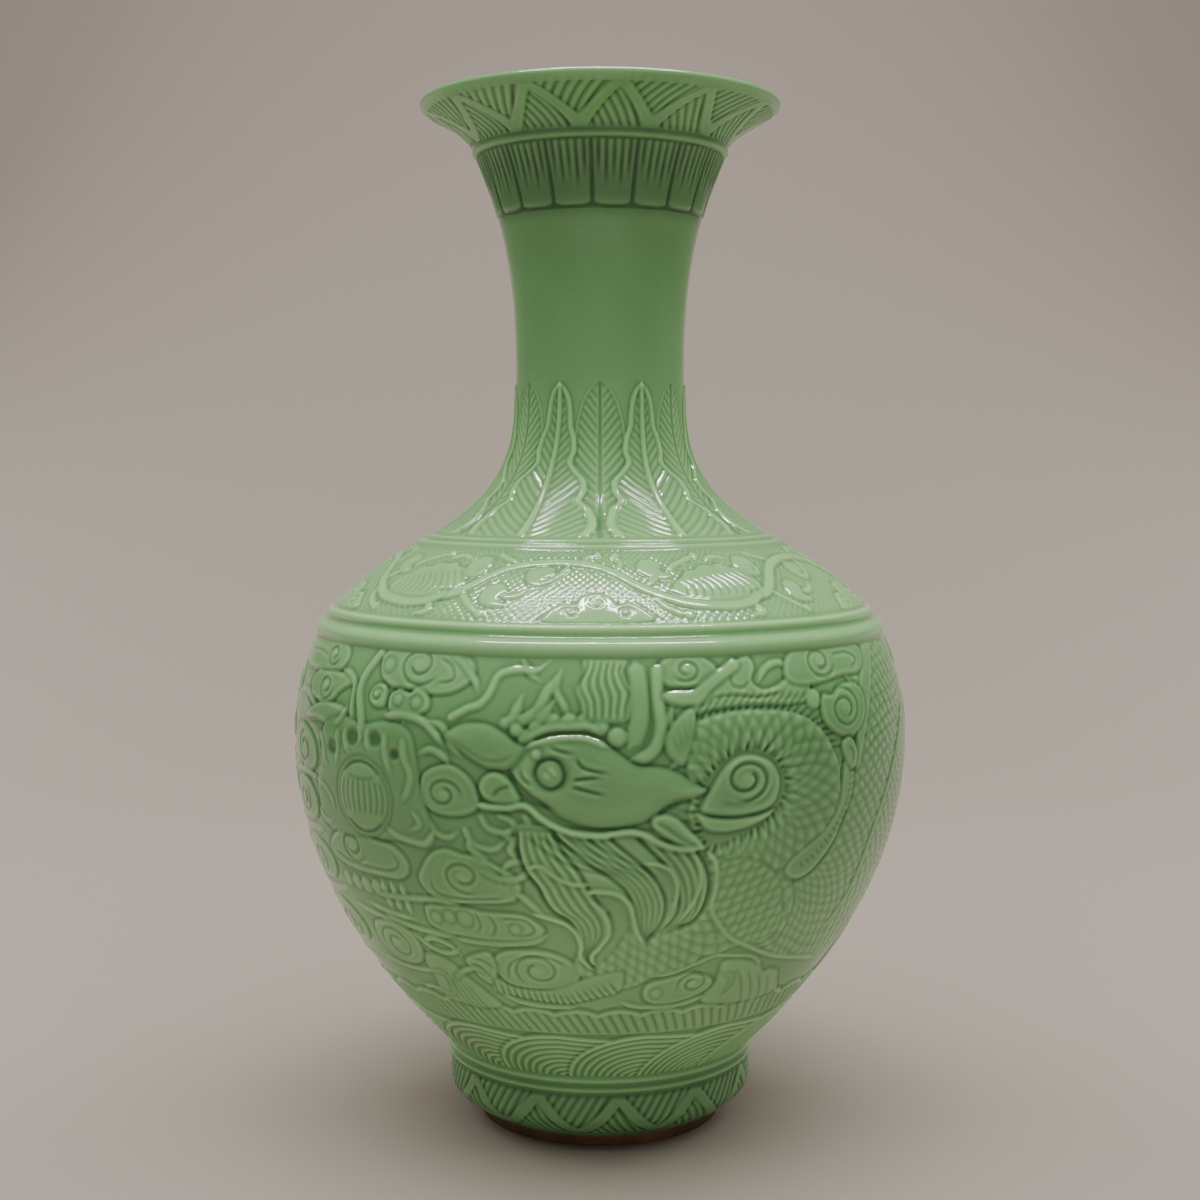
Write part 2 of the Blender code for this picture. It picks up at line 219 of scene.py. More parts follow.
# %% The sheet and its tools
class Sheet:
    """Clay as heights in mm on a grid: x round the pot, repeating after period, and y up it."""

    def __init__(self, x, y, period, ground=0.0):
        self.x, self.y, self.period = x, y, period
        self.height = np.full((len(y), len(x)), ground, np.float32)
        self.grid_x, self.grid_y = np.meshgrid(x, y)

    def patches(self, line, reach):
        """The patches of the grid within reach of a line, also across the seam."""
        low, high = line.min(0) - reach, line.max(0) + reach
        rows = np.flatnonzero((self.y >= low[1]) & (self.y <= high[1]))
        for turn in (-self.period, 0.0, self.period):
            x = self.x + turn
            columns = np.flatnonzero((x >= low[0]) & (x <= high[0]))
            if len(rows) and len(columns):
                patch = np.ix_(rows, columns)
                yield patch, *np.meshgrid(x[columns], self.y[rows])

    def lay(self, patch, mask, target):
        """Brings the patch towards a target height by mask, from 0 to 1."""
        self.height[patch] += mask * (target - self.height[patch])

    def cord(self, points, width, top=0.8, foot=0.1, ends=(3.0, 3.0), moat=0.35):
        """A rounded cord: foot + (top - foot) sqrt(1 - (d / half width)^2), thinner to its ends."""
        line = flowing(points)
        half = width / 2
        length = np.hypot(*np.diff(line, axis=0).T).sum()
        for patch, x, y in self.patches(line, half + 2.0):
            d, run, _ = nearest(line, x, y)
            start = ease(run / ends[0]) if ends[0] else 1.0
            stop = ease((length - run) / ends[1]) if ends[1] else 1.0
            thin = 0.25 + 0.75 * np.minimum(start, stop)
            own = half * thin
            rise = np.sqrt(np.clip(1 - (d / own) ** 2, 0.0, 1.0))
            mask = ease((own - d) / 0.7 + 0.5)
            self.height[patch] -= moat * thin * np.exp(-((np.maximum(d - own, 0) / 0.8) ** 2)) * (1 - mask)
            self.lay(patch, mask, foot + (top - foot) * rise * (0.5 + 0.5 * thin))

    def pad(self, points, top=0.5, edge=1.2, moat=0.45, crown=0.0, rim=0.0, smooth=True):
        """A slab cut to an outline, its edge rounded over edge mm and its middle raised by crown.

        Its height is top times sin of the way in, plus crown times the way in over 6 mm, plus a
        raised rim, and a moat is cut round it.
        """
        line = flowing(points, True) if smooth else np.asarray(points, float)
        for patch, x, y in self.patches(line, 2.2):
            d, _, _ = nearest(np.vstack([line, line[:1]]), x, y)
            inside = within(line, x, y)
            depth = np.where(inside, d, -d)
            mask = ease(depth / 0.7 + 0.5)
            swell = np.sin(0.5 * np.pi * np.clip(depth / edge, 0.15, 1.0))
            form = top * swell + crown * ease(depth / 6.0)
            form = form + rim * np.exp(-(((depth - 1.0) / 0.7) ** 2))
            out = np.maximum(-depth, 0.0)
            self.height[patch] -= moat * np.exp(-((out / 0.9) ** 2)) * (1 - mask)
            self.lay(patch, mask, form)

    def ball(self, x0, y0, radius, top=0.9, moat=0.4):
        """A dome: top times sqrt(1 - (d / radius)^2), with a moat round it."""
        spot = np.array([[x0, y0]])
        for patch, x, y in self.patches(spot, radius + 2.0):
            d = np.hypot(x - x0, y - y0)
            mask = ease((radius - d) / 0.7 + 0.5)
            self.height[patch] -= moat * np.exp(-((np.maximum(d - radius, 0) / 0.8) ** 2)) * (1 - mask)
            self.lay(patch, mask, top * np.sqrt(np.clip(1 - (d / (radius + 0.3)) ** 2, 0, 1)))

    def cut(self, points, width=1.4, depth=0.5, ends=(4.0, 4.0), lip=0.0, closed=False):
        """A gouge cut: depth times (1 - (d / half width)^2), running out at its ends."""
        line = flowing(points, closed)
        self.cut_line(line, width, depth, ends, lip)

    def cut_line(self, line, width, depth, ends, lip=0.0):
        half = width / 2
        length = np.hypot(*np.diff(line, axis=0).T).sum()
        for patch, x, y in self.patches(line, half + 1.5):
            d, run, _ = nearest(line, x, y)
            start = ease(run / ends[0]) if ends[0] else 1.0
            stop = ease((length - run) / ends[1]) if ends[1] else 1.0
            fade = 0.15 + 0.85 * np.minimum(start, stop)
            groove = np.clip(1 - (d / half) ** 2, 0.0, 1.0)
            raised = np.exp(-(((d - half - 0.4) / 0.5) ** 2))
            self.height[patch] -= fade * (depth * groove - lip * raised)

    def comb(self, first, last, count, width=1.1, depth=0.45, ends=(5.0, 5.0), lip=0.0):
        """Several gouge cuts spread evenly between two lines, each a blend of the two."""
        a, b = flowing(first), flowing(last)
        spread = np.linspace(0.0, 1.0, max(len(a), len(b)))
        a = np.stack([np.interp(spread, np.linspace(0, 1, len(a)), c) for c in a.T], 1)
        b = np.stack([np.interp(spread, np.linspace(0, 1, len(b)), c) for c in b.T], 1)
        for share in np.linspace(0.0, 1.0, count):
            self.cut_line(a + share * (b - a), width, depth, ends, lip)

    def fringe(self, points, pitch, length, lean=0.0, width=1.0, depth=0.45, closed=False):
        """Short cuts that leave a line to its left at even distances and lean along it."""
        line = flowing(points, closed, step=0.4)
        step = np.diff(line, axis=0)
        run = np.concatenate([[0.0], np.cumsum(np.hypot(*step.T))])
        for at in np.arange(pitch / 2, run[-1], pitch):
            i = min(int(np.searchsorted(run, at)), len(step) - 1)
            forward = step[i] / max(np.hypot(*step[i]), 1e-9)
            aside = np.array([-forward[1], forward[0]])
            tip = line[i] + aside * length + forward * lean
            self.cut_line(np.stack([line[i], (line[i] + tip) / 2 + forward * 0.12 * lean, tip]),
                width, depth, (0.0, 0.7 * length))

    def swirl(self, x0, y0, radius, turns=1.2, start=0.0, hand=1, width=1.3, depth=0.6, head=0.5):
        """A curl of cloud: a spiral cut that winds in round a small round head.

        The cut's distance from the middle falls from radius to 0.34 radius while its angle runs
        round, and the whole is a little flattened.
        """
        way = np.linspace(0.0, 1.0, 48)
        angle = np.radians(start) + hand * 2 * np.pi * turns * way
        reach = radius * (1.0 - 0.66 * way**0.8)
        line = np.stack([x0 + reach * np.cos(angle), y0 + 0.84 * reach * np.sin(angle)], 1)
        self.cut_line(line, width, depth, (4.0, 0.5), lip=0.25)
        for patch, x, y in self.patches(np.array([[x0, y0]]), radius):
            near = np.hypot(x - x0, (y - y0) / 0.84) / (0.36 * radius)
            self.height[patch] += head * 0.5 * np.clip(1 - near**2, 0, 1)

    def scaly(self, outline, spine, along=3.2, across=6.0, top=0.5, base=0.0, free=0.9):
        """Overlapping scales inside an outline: long lozenges set across a spine line.

        With run u along the spine and offset v from it, each counted in scales, the cuts between
        scales are where u + v or u - v is a whole number and a half. A scale rises as
        (cos pi f cos pi g)^0.45, f and g being what is left of those sums, and free raises its outer
        end. Two small sines bend the rows, so that no two scales are quite alike.
        """
        region, line = flowing(outline, True), flowing(spine, step=2.0)
        for patch, x, y in self.patches(region, 0.0):
            inside = within(region, x, y)
            d, run, side = nearest(line, x, y)
            edge, _, _ = nearest(np.vstack([region, region[:1]]), x, y)
            u, v = run / along, d * side / across
            v = v + 0.10 * np.sin(2.3 * u)
            f, g = u + v + 0.07 * np.sin(1.9 * v), u - v
            f, g = f - np.round(f), g - np.round(g)
            rise = np.clip(np.cos(np.pi * f) * np.cos(np.pi * g), 0, 1) ** 0.45
            mask = inside * ease(edge / 0.8)
            self.lay(patch, mask, base + top * rise * (1 + free * (f - g)))


print("drawing tools ready")

# %% [markdown]
# A band of the wall is a sheet wrapped round the outer line. A point at x and y on the sheet goes
# to the angle x / scale and to the run y above the band's foot, and then outwards by the height of
# the carving. Its normal is the cross product of the grid's two directions, worked out over the
# whole band before it is cut into pieces, so that glossy glaze shows no seam where pieces meet.
#
# Thick glaze hides in the cuts. How much lies on a point is the difference between the carving
# smoothed over a few millimetres and the carving itself. A term by height is added to it, partly
# the glaze's own running and partly painted light and shade. That number is kept on each point
# and the glaze reads its colour from it.

# %% A band of the wall
PAD_ROWS = 3
NEAR_REACH, WIDE_REACH, RING_REACH = 1.1, 3.2, 1.4
NEAR_POOL, WIDE_POOL, RING_POOL = 0.40, 0.34, 0.40


def smoothed(field, reach_rows, reach_columns):
    """A Gaussian blur, by multiplying the field's Fourier transform by exp(-2 (pi f reach)^2)."""
    rows = 3 * int(np.ceil(reach_rows)) + 1
    padded = np.pad(field, ((rows, rows), (0, 0)), mode="edge")
    f_up = np.fft.fftfreq(padded.shape[0])[:, None]
    f_round = np.fft.rfftfreq(padded.shape[1])[None, :]
    keep = np.exp(-2 * (np.pi * f_up * reach_rows) ** 2 - 2 * (np.pi * f_round * reach_columns) ** 2)
    return np.fft.irfft2(np.fft.rfft2(padded) * keep, s=padded.shape)[rows:-rows]


def glaze_run_and_painted_light(z):
    """How much thicker than usual the glaze lies at height z, as a share of its whole range.

    It thins the glaze on the shoulder and the bowl and thickens it on the foot, in the belly's
    middle and most in the hollow under the mouth, where the petals hang. Part of it is the glaze's
    own running, and part is painted light on the shoulder and the bowl and painted shade in the
    belly's middle and on the petals.
    """
    heights = [4, 24, 33, 50, 95, 135, 165, 192, 204, 232, 262, 297, 352, 358, 378, 386, 401]
    depths = [0.20, 0.16, -0.10, -0.14, -0.08, 0.10, 0.14, 0.0, -0.18, -0.16, -0.06, 0.04, 0.10, 0.30,
        0.28, 0.06, 0.02]
    return np.interp(z, heights, depths)


class Band:
    """A band of the wall from one height to another, with its carving and its finished grid."""

    def __init__(self, low, high, columns, step, scale, repeats=1, ground=0.0):
        self.run0, run1 = run_at(low), run_at(high)
        self.rows = int(round((run1 - self.run0) / step)) + 1
        self.step = (run1 - self.run0) / (self.rows - 1)
        self.columns, self.repeats, self.scale = columns, repeats, scale
        y = (np.arange(-PAD_ROWS, self.rows + PAD_ROWS)) * self.step
        period = 360.0 * scale / repeats
        x = -period / 2 + np.arange(columns // repeats) * period / (columns // repeats)
        self.turn = period / 2 / scale
        self.tall = run1 - self.run0
        self.sheet = Sheet(x, y, period, ground)

    def finish(self, settle=0.32, fade=(0.8, 0.8), relief=1.0):
        """Rounds the carving a little as glaze does, wraps it and works out normals and glaze."""
        sheet = self.sheet
        radius, z, out, up = line_at(self.run0 + sheet.y)
        round_step = 2 * np.pi * radius.mean() / self.columns
        carved = relief * np.tile(sheet.height.astype(float), (1, self.repeats))
        ends = ease(sheet.y / max(fade[0], 1e-6)) * ease((self.tall - sheet.y) / max(fade[1], 1e-6))
        carved = carved * np.clip(ends, 0, 1)[:, None]
        carved = smoothed(carved, settle / self.step, settle / round_step)
        rings = turned_rings(z)[:, None]
        near = smoothed(carved, NEAR_REACH / self.step, NEAR_REACH / round_step) - carved
        wide = smoothed(carved, WIDE_REACH / self.step, WIDE_REACH / round_step) - carved
        ring_pool = smoothed(np.tile(rings, (1, 8)), RING_REACH / self.step, 1.0) - rings
        # Glaze depth from the cuts and rings, plus a term by height that is partly glaze running and partly
        # painted light and shade.
        glaze = (0.5 + NEAR_POOL * near + WIDE_POOL * wide + RING_POOL * ring_pool[:, :1]
                 + glaze_run_and_painted_light(z)[:, None])
        angle = np.radians((np.arange(self.columns) * 360.0 / self.columns) - self.turn)
        height = carved + rings
        r = radius[:, None] + height * out[:, None]
        level = z[:, None] + height * up[:, None]
        place = np.stack([r * np.sin(angle), -r * np.cos(angle), level], -1)
        around = np.roll(place, -1, 1) - np.roll(place, 1, 1)
        along = np.gradient(place, axis=0)
        normal = np.cross(around, along)
        normal /= np.linalg.norm(normal, axis=-1, keepdims=True)
        keep = slice(PAD_ROWS, -PAD_ROWS)
        self.place, self.normal, self.glaze = place[keep], normal[keep], np.clip(glaze[keep], 0, 1)
        self.run, self.angle = self.run0 + sheet.y[keep], angle
        return self


# %% [markdown]
# Each piece of a band is a closed ring of clay: the carved face outside, the plain inner wall, and
# a flat joint above and below. The whole section is one closed loop of rows, so the mesh is one
# grid whose last row meets its first. Rows past the carved face carry the flat normals of the
# turned profile, averaged where two stretches meet softly.


# %% Closed rings of clay
GLAZE_INSIDE = 0.42


def wall_at(z):
    """Wall thickness by height: thick at the foot and thin in the neck."""
    return np.interp(z, [FOOT_GROOVE, BELLY, NECK_RING, LEAF_TOP, FLARE, LIP], [7.5, 5.5, 5.5, 4.5, 4.5, 3.5])


def inner_wall(run_top, run_bottom, count):
    """Points of the inner wall from top to bottom: the outer line moved in by the wall."""
    radius, z, out, up = line_at(np.linspace(run_top, run_bottom, count))
    wall = wall_at(z)
    return np.stack([radius - wall * out, z - wall * up], 1)


def spun(profile, angle):
    """Turns radius and height pairs, or outward directions, round the axis: (r sin a, -r cos a, z)."""
    r, z = profile[:, :1], profile[:, 1:]
    return np.stack([r * np.sin(angle), -r * np.cos(angle), z + 0 * angle], -1)


def profile_normals(profile):
    """The outward direction at both ends of each stretch of a profile, soft where it bends little."""
    step = np.roll(profile, -1, 0) - profile
    face = np.stack([step[:, 1], -step[:, 0]], 1)
    face /= np.maximum(np.linalg.norm(face, axis=1, keepdims=True), 1e-9)
    before = np.roll(face, 1, 0)
    before[0] = face[0]
    soft = (face * before).sum(1, keepdims=True) > 0.75
    shared = face + before
    shared /= np.maximum(np.linalg.norm(shared, axis=1, keepdims=True), 1e-9)
    start = np.where(soft, shared, face)
    stop = np.roll(np.where(soft, shared, before), -1, 0)
    return start, stop


def to_mesh(name, place, corners, normals, marks, across, along):
    """Puts a grid into a mesh: quads wound outwards, their corner normals, UVs and glaze depth."""
    mesh = bpy.data.meshes.new(name)
    faces = corners.reshape(-1, 4)
    mesh.vertices.add(len(place))
    mesh.vertices.foreach_set("co", (place * MM).astype(np.float32).ravel())
    mesh.loops.add(faces.size)
    mesh.loops.foreach_set("vertex_index", faces.astype(np.int32).ravel())
    mesh.polygons.add(len(faces))
    mesh.polygons.foreach_set("loop_start", np.arange(0, faces.size, 4, dtype=np.int32))
    mesh.update(calc_edges=True)
    mesh.shade_smooth()
    uv = mesh.uv_layers.new(name="OFBake")
    uv.uv.foreach_set("vector", np.stack([across, along], -1).astype(np.float32).ravel())
    # This attribute holds the glaze depth and, from the height term, painted light and shade.
    depth = mesh.attributes.new("glaze_depth", "FLOAT", "POINT")
    depth.data.foreach_set("value", marks.astype(np.float32).ravel())
    mesh.normals_split_custom_set(normals.reshape(-1, 3).astype(np.float32))
    piece = bpy.data.objects.new(name, mesh)
    bpy.context.scene.collection.objects.link(piece)
    return piece


def ring_piece(name, band, first, last, tail):
    """One closed ring: rows first to last of a band, then the tail profile back to its foot."""
    angle, count = band.angle, band.columns
    outer = band.place[first : last + 1]
    rows = len(outer) + len(tail)
    place = np.concatenate([outer, spun(tail, angle)])
    marks = np.concatenate([band.glaze[first : last + 1], np.full((len(tail), count), GLAZE_INSIDE)])
    r, c = np.arange(rows)[:, None], np.arange(count)[None, :]
    r2, c2 = (r + 1) % rows, (c + 1) % count
    corners = np.stack([r * count + c, r * count + c2, r2 * count + c2, r2 * count + c], -1)
    radius, z, out, up = line_at(band.run[[first, last]])
    loop = np.concatenate([[[radius[1], z[1]]], tail, [[radius[0], z[0]]]])
    start, stop = profile_normals(loop)
    face = len(outer) - 1
    normals = np.empty((rows, count, 4, 3))
    own = band.normal[first : last + 1]
    normals[:face, :, 0], normals[:face, :, 1] = own[:-1], np.roll(own, -1, 1)[:-1]
    normals[:face, :, 2], normals[:face, :, 3] = np.roll(own, -1, 1)[1:], own[1:]
    low = spun(start[:-1], angle)
    high = spun(stop[:-1], angle)
    normals[face:, :, 0], normals[face:, :, 1] = low, np.roll(low, -1, 1)
    normals[face:, :, 2], normals[face:, :, 3] = np.roll(high, -1, 1), high
    v = np.concatenate([np.linspace(0.0, 0.86, len(outer)), np.linspace(0.88, 1.0, len(tail) + 1)])
    u0, u1 = c / count + 0 * r, (c + 1) / count + 0 * r
    v0, v1 = v[r] + 0 * c, v[r + 1] + 0 * c
    across, along = np.stack([u0, u1, u1, u0], -1), np.stack([v0, v0, v1, v1], -1)
    return to_mesh(name, place.reshape(-1, 3), corners, normals, marks, across, along)


PIECES = []


def add_piece(piece, slot, *nodes):
    """Rides the piece on the vase's one body and hides the solids it stands for."""
    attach(piece, "root")
    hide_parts(*nodes)
    PIECES.append(piece)
    print(piece.name, len(piece.data.polygons) * 2, "triangles")
    return piece


def add_band(name, band, count, nodes, inner_rows=4):
    """Cuts a band into count rings of nearly equal height."""
    edges = np.round(np.linspace(0, band.rows - 1, count + 1)).astype(int)
    for i, (first, last) in enumerate(zip(edges[:-1], edges[1:])):
        tail = inner_wall(band.run[last], band.run[first], inner_rows)
        label = name if count == 1 else f"{name}_{i + 1}"
        add_piece(ring_piece(label, band, first, last, tail), "glaze", *nodes[i])


# %% [markdown]
# The foot. A key fret runs round it: a broad plain ribbon folds up and down twelve times, and the
# triangles it leaves are hatched with slanting cuts, all leaning one way above and the other way
# below. The fret is drawn once as distance from a zigzag line.


# %% The key fret
def zigzag(sheet, pitch, start, low, high, bow):
    """Distance in mm from a zigzag with its low corners at start + n pitch: + is above.

    The line rises as (way from a low corner) to the power bow, so that it looks straight on a flare.
    """
    way = np.abs(np.mod(sheet.grid_x - start + pitch / 2, pitch) - pitch / 2) / (pitch / 2)
    line = low + (high - low) * way**bow
    lean = np.hypot(1.0, (high - low) / (pitch / 2))
    return (sheet.grid_y - line) / lean


def hatch(sheet, lean, pitch, width):
    """Parallel grooves: 1 in the middle of each, 0 between, on the lines x + lean y = n pitch."""
    across = (sheet.grid_x + lean * sheet.grid_y) / np.hypot(1.0, lean)
    d = np.abs(np.mod(across + pitch / 2, pitch) - pitch / 2)
    return np.clip(1 - (d / (width / 2)) ** 2, 0.0, 1.0)


def key_fret(sheet, low, high, turn, start, ribbon, pitch, lean, groove, depth, bow):
    """Ribbon raised over hatched triangles, between plain edges at low and high."""
    side = zigzag(sheet, turn, start, low, high, bow)
    ribbon_mask = ease((ribbon / 2 - np.abs(side)) / 0.6 + 0.5)
    inside = ease((sheet.grid_y - low + 1.0) / 0.8) * ease((high + 1.0 - sheet.grid_y) / 0.8)
    upper = hatch(sheet, -lean, pitch, groove) * (side > 0)
    lower = hatch(sheet, lean, pitch, groove) * (side <= 0)
    ground = -depth * (upper + lower)
    edge = np.exp(-(((np.abs(side) - ribbon / 2 - 0.4) / 0.5) ** 2))
    form = ground - 0.6 * depth * edge + ribbon_mask * (0.1 - ground)
    sheet.height += (inside * form).astype(np.float32)


# %% The foot band
foot = Band(FOOT_EDGE, BELLY_START, 960, 0.5, 1.1)
key_fret(foot.sheet, 6.5, 23.5, 33.0, -9.0, 4.6, 3.3, 0.62, 2.0, 0.6, 1.15)
for y, depth in ((4.6, 0.35), (24.4, 0.5)):
    foot.sheet.height -= (depth * np.exp(-(((foot.sheet.grid_y - y) / 0.7) ** 2))).astype(np.float32)
foot.finish(fade=(1.5, 6.0), relief=0.8)

# %% [markdown]
# Above the foot a row of rolling waves: fifteen fans of arcs, every fan lapping over the one on its
# left as roof tiles do. Each arc is a ridge at a fixed distance from the fan's centre, so the whole
# row is a sine of that distance, cut off where the neighbour's outline starts.


# %% The row of waves
waves = Band(BELLY_START, WAVE_TOP, 1200, 0.5, 1.1)
WAVE_PITCH, WAVE_ARCS, WAVE_BASE, WAVE_REACH = 26.4, 3.3, -3.0, 33.0


def wave_fans(sheet):
    """Arcs about a point at the fan's lower right: sqrt((1.22 dx)^2 + dy^2) from it is constant."""
    height = np.full(sheet.grid_x.shape, -0.4)
    count = int(round(sheet.period / WAVE_PITCH))
    dy = sheet.grid_y - WAVE_BASE
    for turn in range(-2, count + 3):
        centre = -sheet.period / 2 + 1.4 + turn * WAVE_PITCH
        dx = sheet.grid_x - centre
        d = np.hypot(1.22 * np.minimum(dx, 0), dy + 0.16 * np.maximum(dx, 0))
        on = ease((WAVE_REACH - d) / 0.8) * ease((26.0 - dx) / 1.0)
        ridge = 0.5 + 0.5 * np.cos(2 * np.pi * (WAVE_REACH - 1.3 - d) / WAVE_ARCS)
        form = -0.35 + 0.75 * ridge**0.8 + 0.2 * np.exp(-(((WAVE_REACH - 1.3 - d) / 1.1) ** 2))
        height -= 0.4 * np.exp(-(((d - WAVE_REACH - 0.4) / 0.7) ** 2)) * (d > WAVE_REACH) * (dx < 0)
        height = height * (1 - on) + on * form
    sheet.height[:] = height


wave_fans(waves.sheet)
waves.finish(fade=(0.8, 0.5))

# %% [markdown]
# On the shoulder a vine rolls round in five long waves over a ground of crossed cuts. In each
# hollow of the stem sits a fan leaf with curved ribs, and buds and hooked tendrils fill the rest.


# %% The vine on the shoulder
rings = Band(MOULDING, SHOULDER, 960, 0.5, 1.75)
rings.finish()
vine = Band(SHOULDER, NECK_RING, 1320, 0.56, 1.75, repeats=5, ground=0.0)
sheet = vine.sheet
net = np.maximum(hatch(sheet, 1.0, 2.3, 0.9), hatch(sheet, -1.0, 2.3, 0.9))
sheet.height[:] = -0.1 - 0.35 * net
FAN = [(28, 15), (30, 20), (34, 23), (37, 26.5), (42, 27.5), (46, 30), (51, 29.5), (56, 30.5),
    (60, 28), (65, 27), (68, 22), (69, 16), (66, 10.5), (59, 9), (50, 8.5), (40, 9.5), (32, 11)]
sheet.pad(FAN, top=0.25, edge=1.6, crown=0.25)
sheet.comb([(33, 12), (34, 17), (31.5, 20)], [(67, 12), (68.5, 18), (62, 26.5)], 11, 1.3, 0.5, (1.5, 1.5))
BOTTOM_CLOUD = [(-17, 0.5), (-18, 5), (-14, 9), (-9, 9), (-7, 13), (-1, 14.5), (4, 12.5), (6, 9),
    (11, 9.5), (16, 6), (16, 1)]
sheet.pad(BOTTOM_CLOUD, top=0.25, crown=0.2, rim=0.12)
sheet.swirl(-10, 5, 3.6, start=200, hand=-1)
sheet.swirl(9, 5, 3.4, start=-20)
sheet.swirl(-1, 9.5, 3.2, start=90)
STEM = [(-63, 12.0), (-58, 13), (-52, 18), (-47, 23), (-40, 28), (-30, 31), (-20, 32), (-10, 31.5),
    (0, 29), (7, 25), (13, 20), (20, 15), (30, 10), (40, 8), (50, 7.5), (58, 9), (63, 12.0)]
for bud in (
        [(-62, 28), (-61, 32.5), (-57, 35), (-52, 34), (-50, 30), (-53, 27), (-54, 22.5), (-59, 23)],
        [(-31, 24), (-29, 28.5), (-24, 30), (-20, 28), (-18, 24), (-22, 22), (-23, 18), (-28, 19)],
        [(16, 28), (18, 33), (23, 34), (27, 31), (26, 27), (30, 24), (27, 22), (20, 23)],
        [(-46, 14), (-44, 18), (-39, 19), (-36, 15), (-38, 11), (-34, 8), (-40, 7), (-45, 9)]):
    sheet.pad(bud, top=0.25, edge=1.8, crown=0.25, moat=0.35)
for points in (
        [(-54, 23), (-52, 26), (-51, 30)],
        [(-24, 19), (-20, 21), (-16, 25), (-13, 31)],
        [(24, 24), (20, 20), (16, 18)],
        [(-37, 12), (-31, 13), (-27, 17)],
        [(-50, 37), (-43, 33.5), (-36, 31)],
        [(6, 26), (9, 31), (7, 36)],
        [(29, 27), (33, 30), (39, 33), (46, 36)],
        [(-8, 31), (-6, 35), (-1, 37)],
        [(58, 9), (61, 4), (55, 2.5)],
        [(20, 15), (23, 8), (31, 3)],
        [(-56, 15), (-50, 9), (-43, 3)],
        [(50, 33), (56, 35), (63, 33)]):
    sheet.cord(points, 2.6, top=0.35, ends=(1.0, 4.0), moat=0.25)
sheet.cord(STEM, 4.0, top=0.45, foot=0.25, ends=(0, 0), moat=0.4)
for x, y, radius in ((7, 36, 2.2), (46, 36, 2.0), (-1, 37, 1.8), (31, 4, 2.0), (-43, 4, 2.0)):
    sheet.ball(x, y, radius, top=0.4, moat=0.2)
vine.finish(fade=(1.0, 1.0), relief=0.8)

# %% [markdown]
# Thirteen upright leaves stand round the hollow of the neck and leave no ground between them. The
# even ones stand behind: broad and plain, with a grooved midrib. The odd ones stand in front of
# them, edged with a raised ribbon that waves in and out, with a raised midrib. Veins climb
# outwards from every midrib in close slanting cuts. An outline is a list of half widths at given
# heights, smoothed.


# %% The leaves
leaves = Band(NECK_RING, LEAF_TOP, 960, 0.5, 1.0)
LEAF_COUNT = 13
LEAF_FOOT = 9.0


def leaf_edge(y, heights, widths):
    """Half width at height y: a smooth line through the given ones."""
    line = flowing(np.stack([heights, widths], 1), step=0.5)
    return np.interp(y, line[:, 0], line[:, 1])


def carve_leaf(sheet, middle, half_width, top, front):
    """One leaf: climbing veins, a midrib, and on a front leaf a ribbon along its edge.

    Veins follow y - 0.75 |dx| = n pitch, so each pair makes a V on the midrib.
    """
    y = sheet.grid_y
    dx = np.mod(sheet.grid_x - middle + sheet.period / 2, sheet.period) - sheet.period / 2
    reach = np.abs(dx)
    depth = half_width - reach
    on = ease(depth / 0.7 + 0.5)
    ribbon = 3.2 if front else 1.2
    rim = ease((ribbon - depth) / 0.7 + 0.5)
    inner = np.exp(-(((depth - ribbon - 0.7) / 0.6) ** 2))
    across = (y - 0.75 * reach) / 1.25
    vein = np.abs(np.mod(across, 3.1) - 1.55)
    veins = (np.clip(1 - (vein / 0.85) ** 2, 0, 1)
             * ease((depth - ribbon - 0.6) / 0.8) * ease((reach - 1.6) / 0.8))
    form = top - 0.2 + rim * (0.32 - 0.12 * (1 - front)) - 0.25 * inner - 0.42 * veins
    if front:
        form = form + 0.45 * ease((1.7 - reach) / 0.8) - 0.25 * np.exp(-(((reach - 2.2) / 0.5) ** 2))
    else:
        form = form - 0.6 * np.clip(1 - (reach / 1.5) ** 2, 0, 1)
    out = np.maximum(-depth, 0)
    sheet.height -= 0.45 * np.exp(-((out / 0.8) ** 2)) * (1 - on)
    sheet.height += on * (form - sheet.height)


def carve_leaves(sheet):
    """The plain back leaves first, then the ribboned front ones over them."""
    pitch = sheet.period / LEAF_COUNT
    y = sheet.grid_y
    back = leaf_edge(y, [4, 40, 50, 62, 70, 75, 78, 79.3], [17, 17, 16.5, 15.8, 12.6, 8.8, 4.6, 0.0])
    front = leaf_edge(y, [4, 10, 15, 20, 26, 30, 35, 40, 44, 48, 52, 57, 62, 67, 72, 76, 79],
        [23, 23.7, 25.7, 25.7, 23.7, 19.7, 21.7, 20.7, 15.7, 12.2, 13.7, 12.8, 10.0, 9.2, 8.0, 5.0,
        0.0])
    for i in range(-6, 7):
        if i % 2 == 0:
            carve_leaf(sheet, i * pitch, back, 0.2, 0)
    for i in range(-6, 7):
        if i % 2:
            carve_leaf(sheet, i * pitch + 0.6 * np.sin(y / 9.0), front, 0.5, 1)
    sheet.height *= ease((y - LEAF_FOOT + 0.5) / 1.0)


carve_leaves(leaves.sheet)
leaves.finish(fade=(0.5, 1.0), relief=0.85)

# %% [markdown]
# Under the mouth hang seventeen petals with round ends, each fluted with five short cuts that run
# out downwards. Above the turned ring the key fret comes back on the outside of the flare, larger
# and finer.


# %% Petals and mouth
petals = Band(PETALS, MOUTH_RING, 960, 0.5, 1.0)
PETAL_COUNT = 17


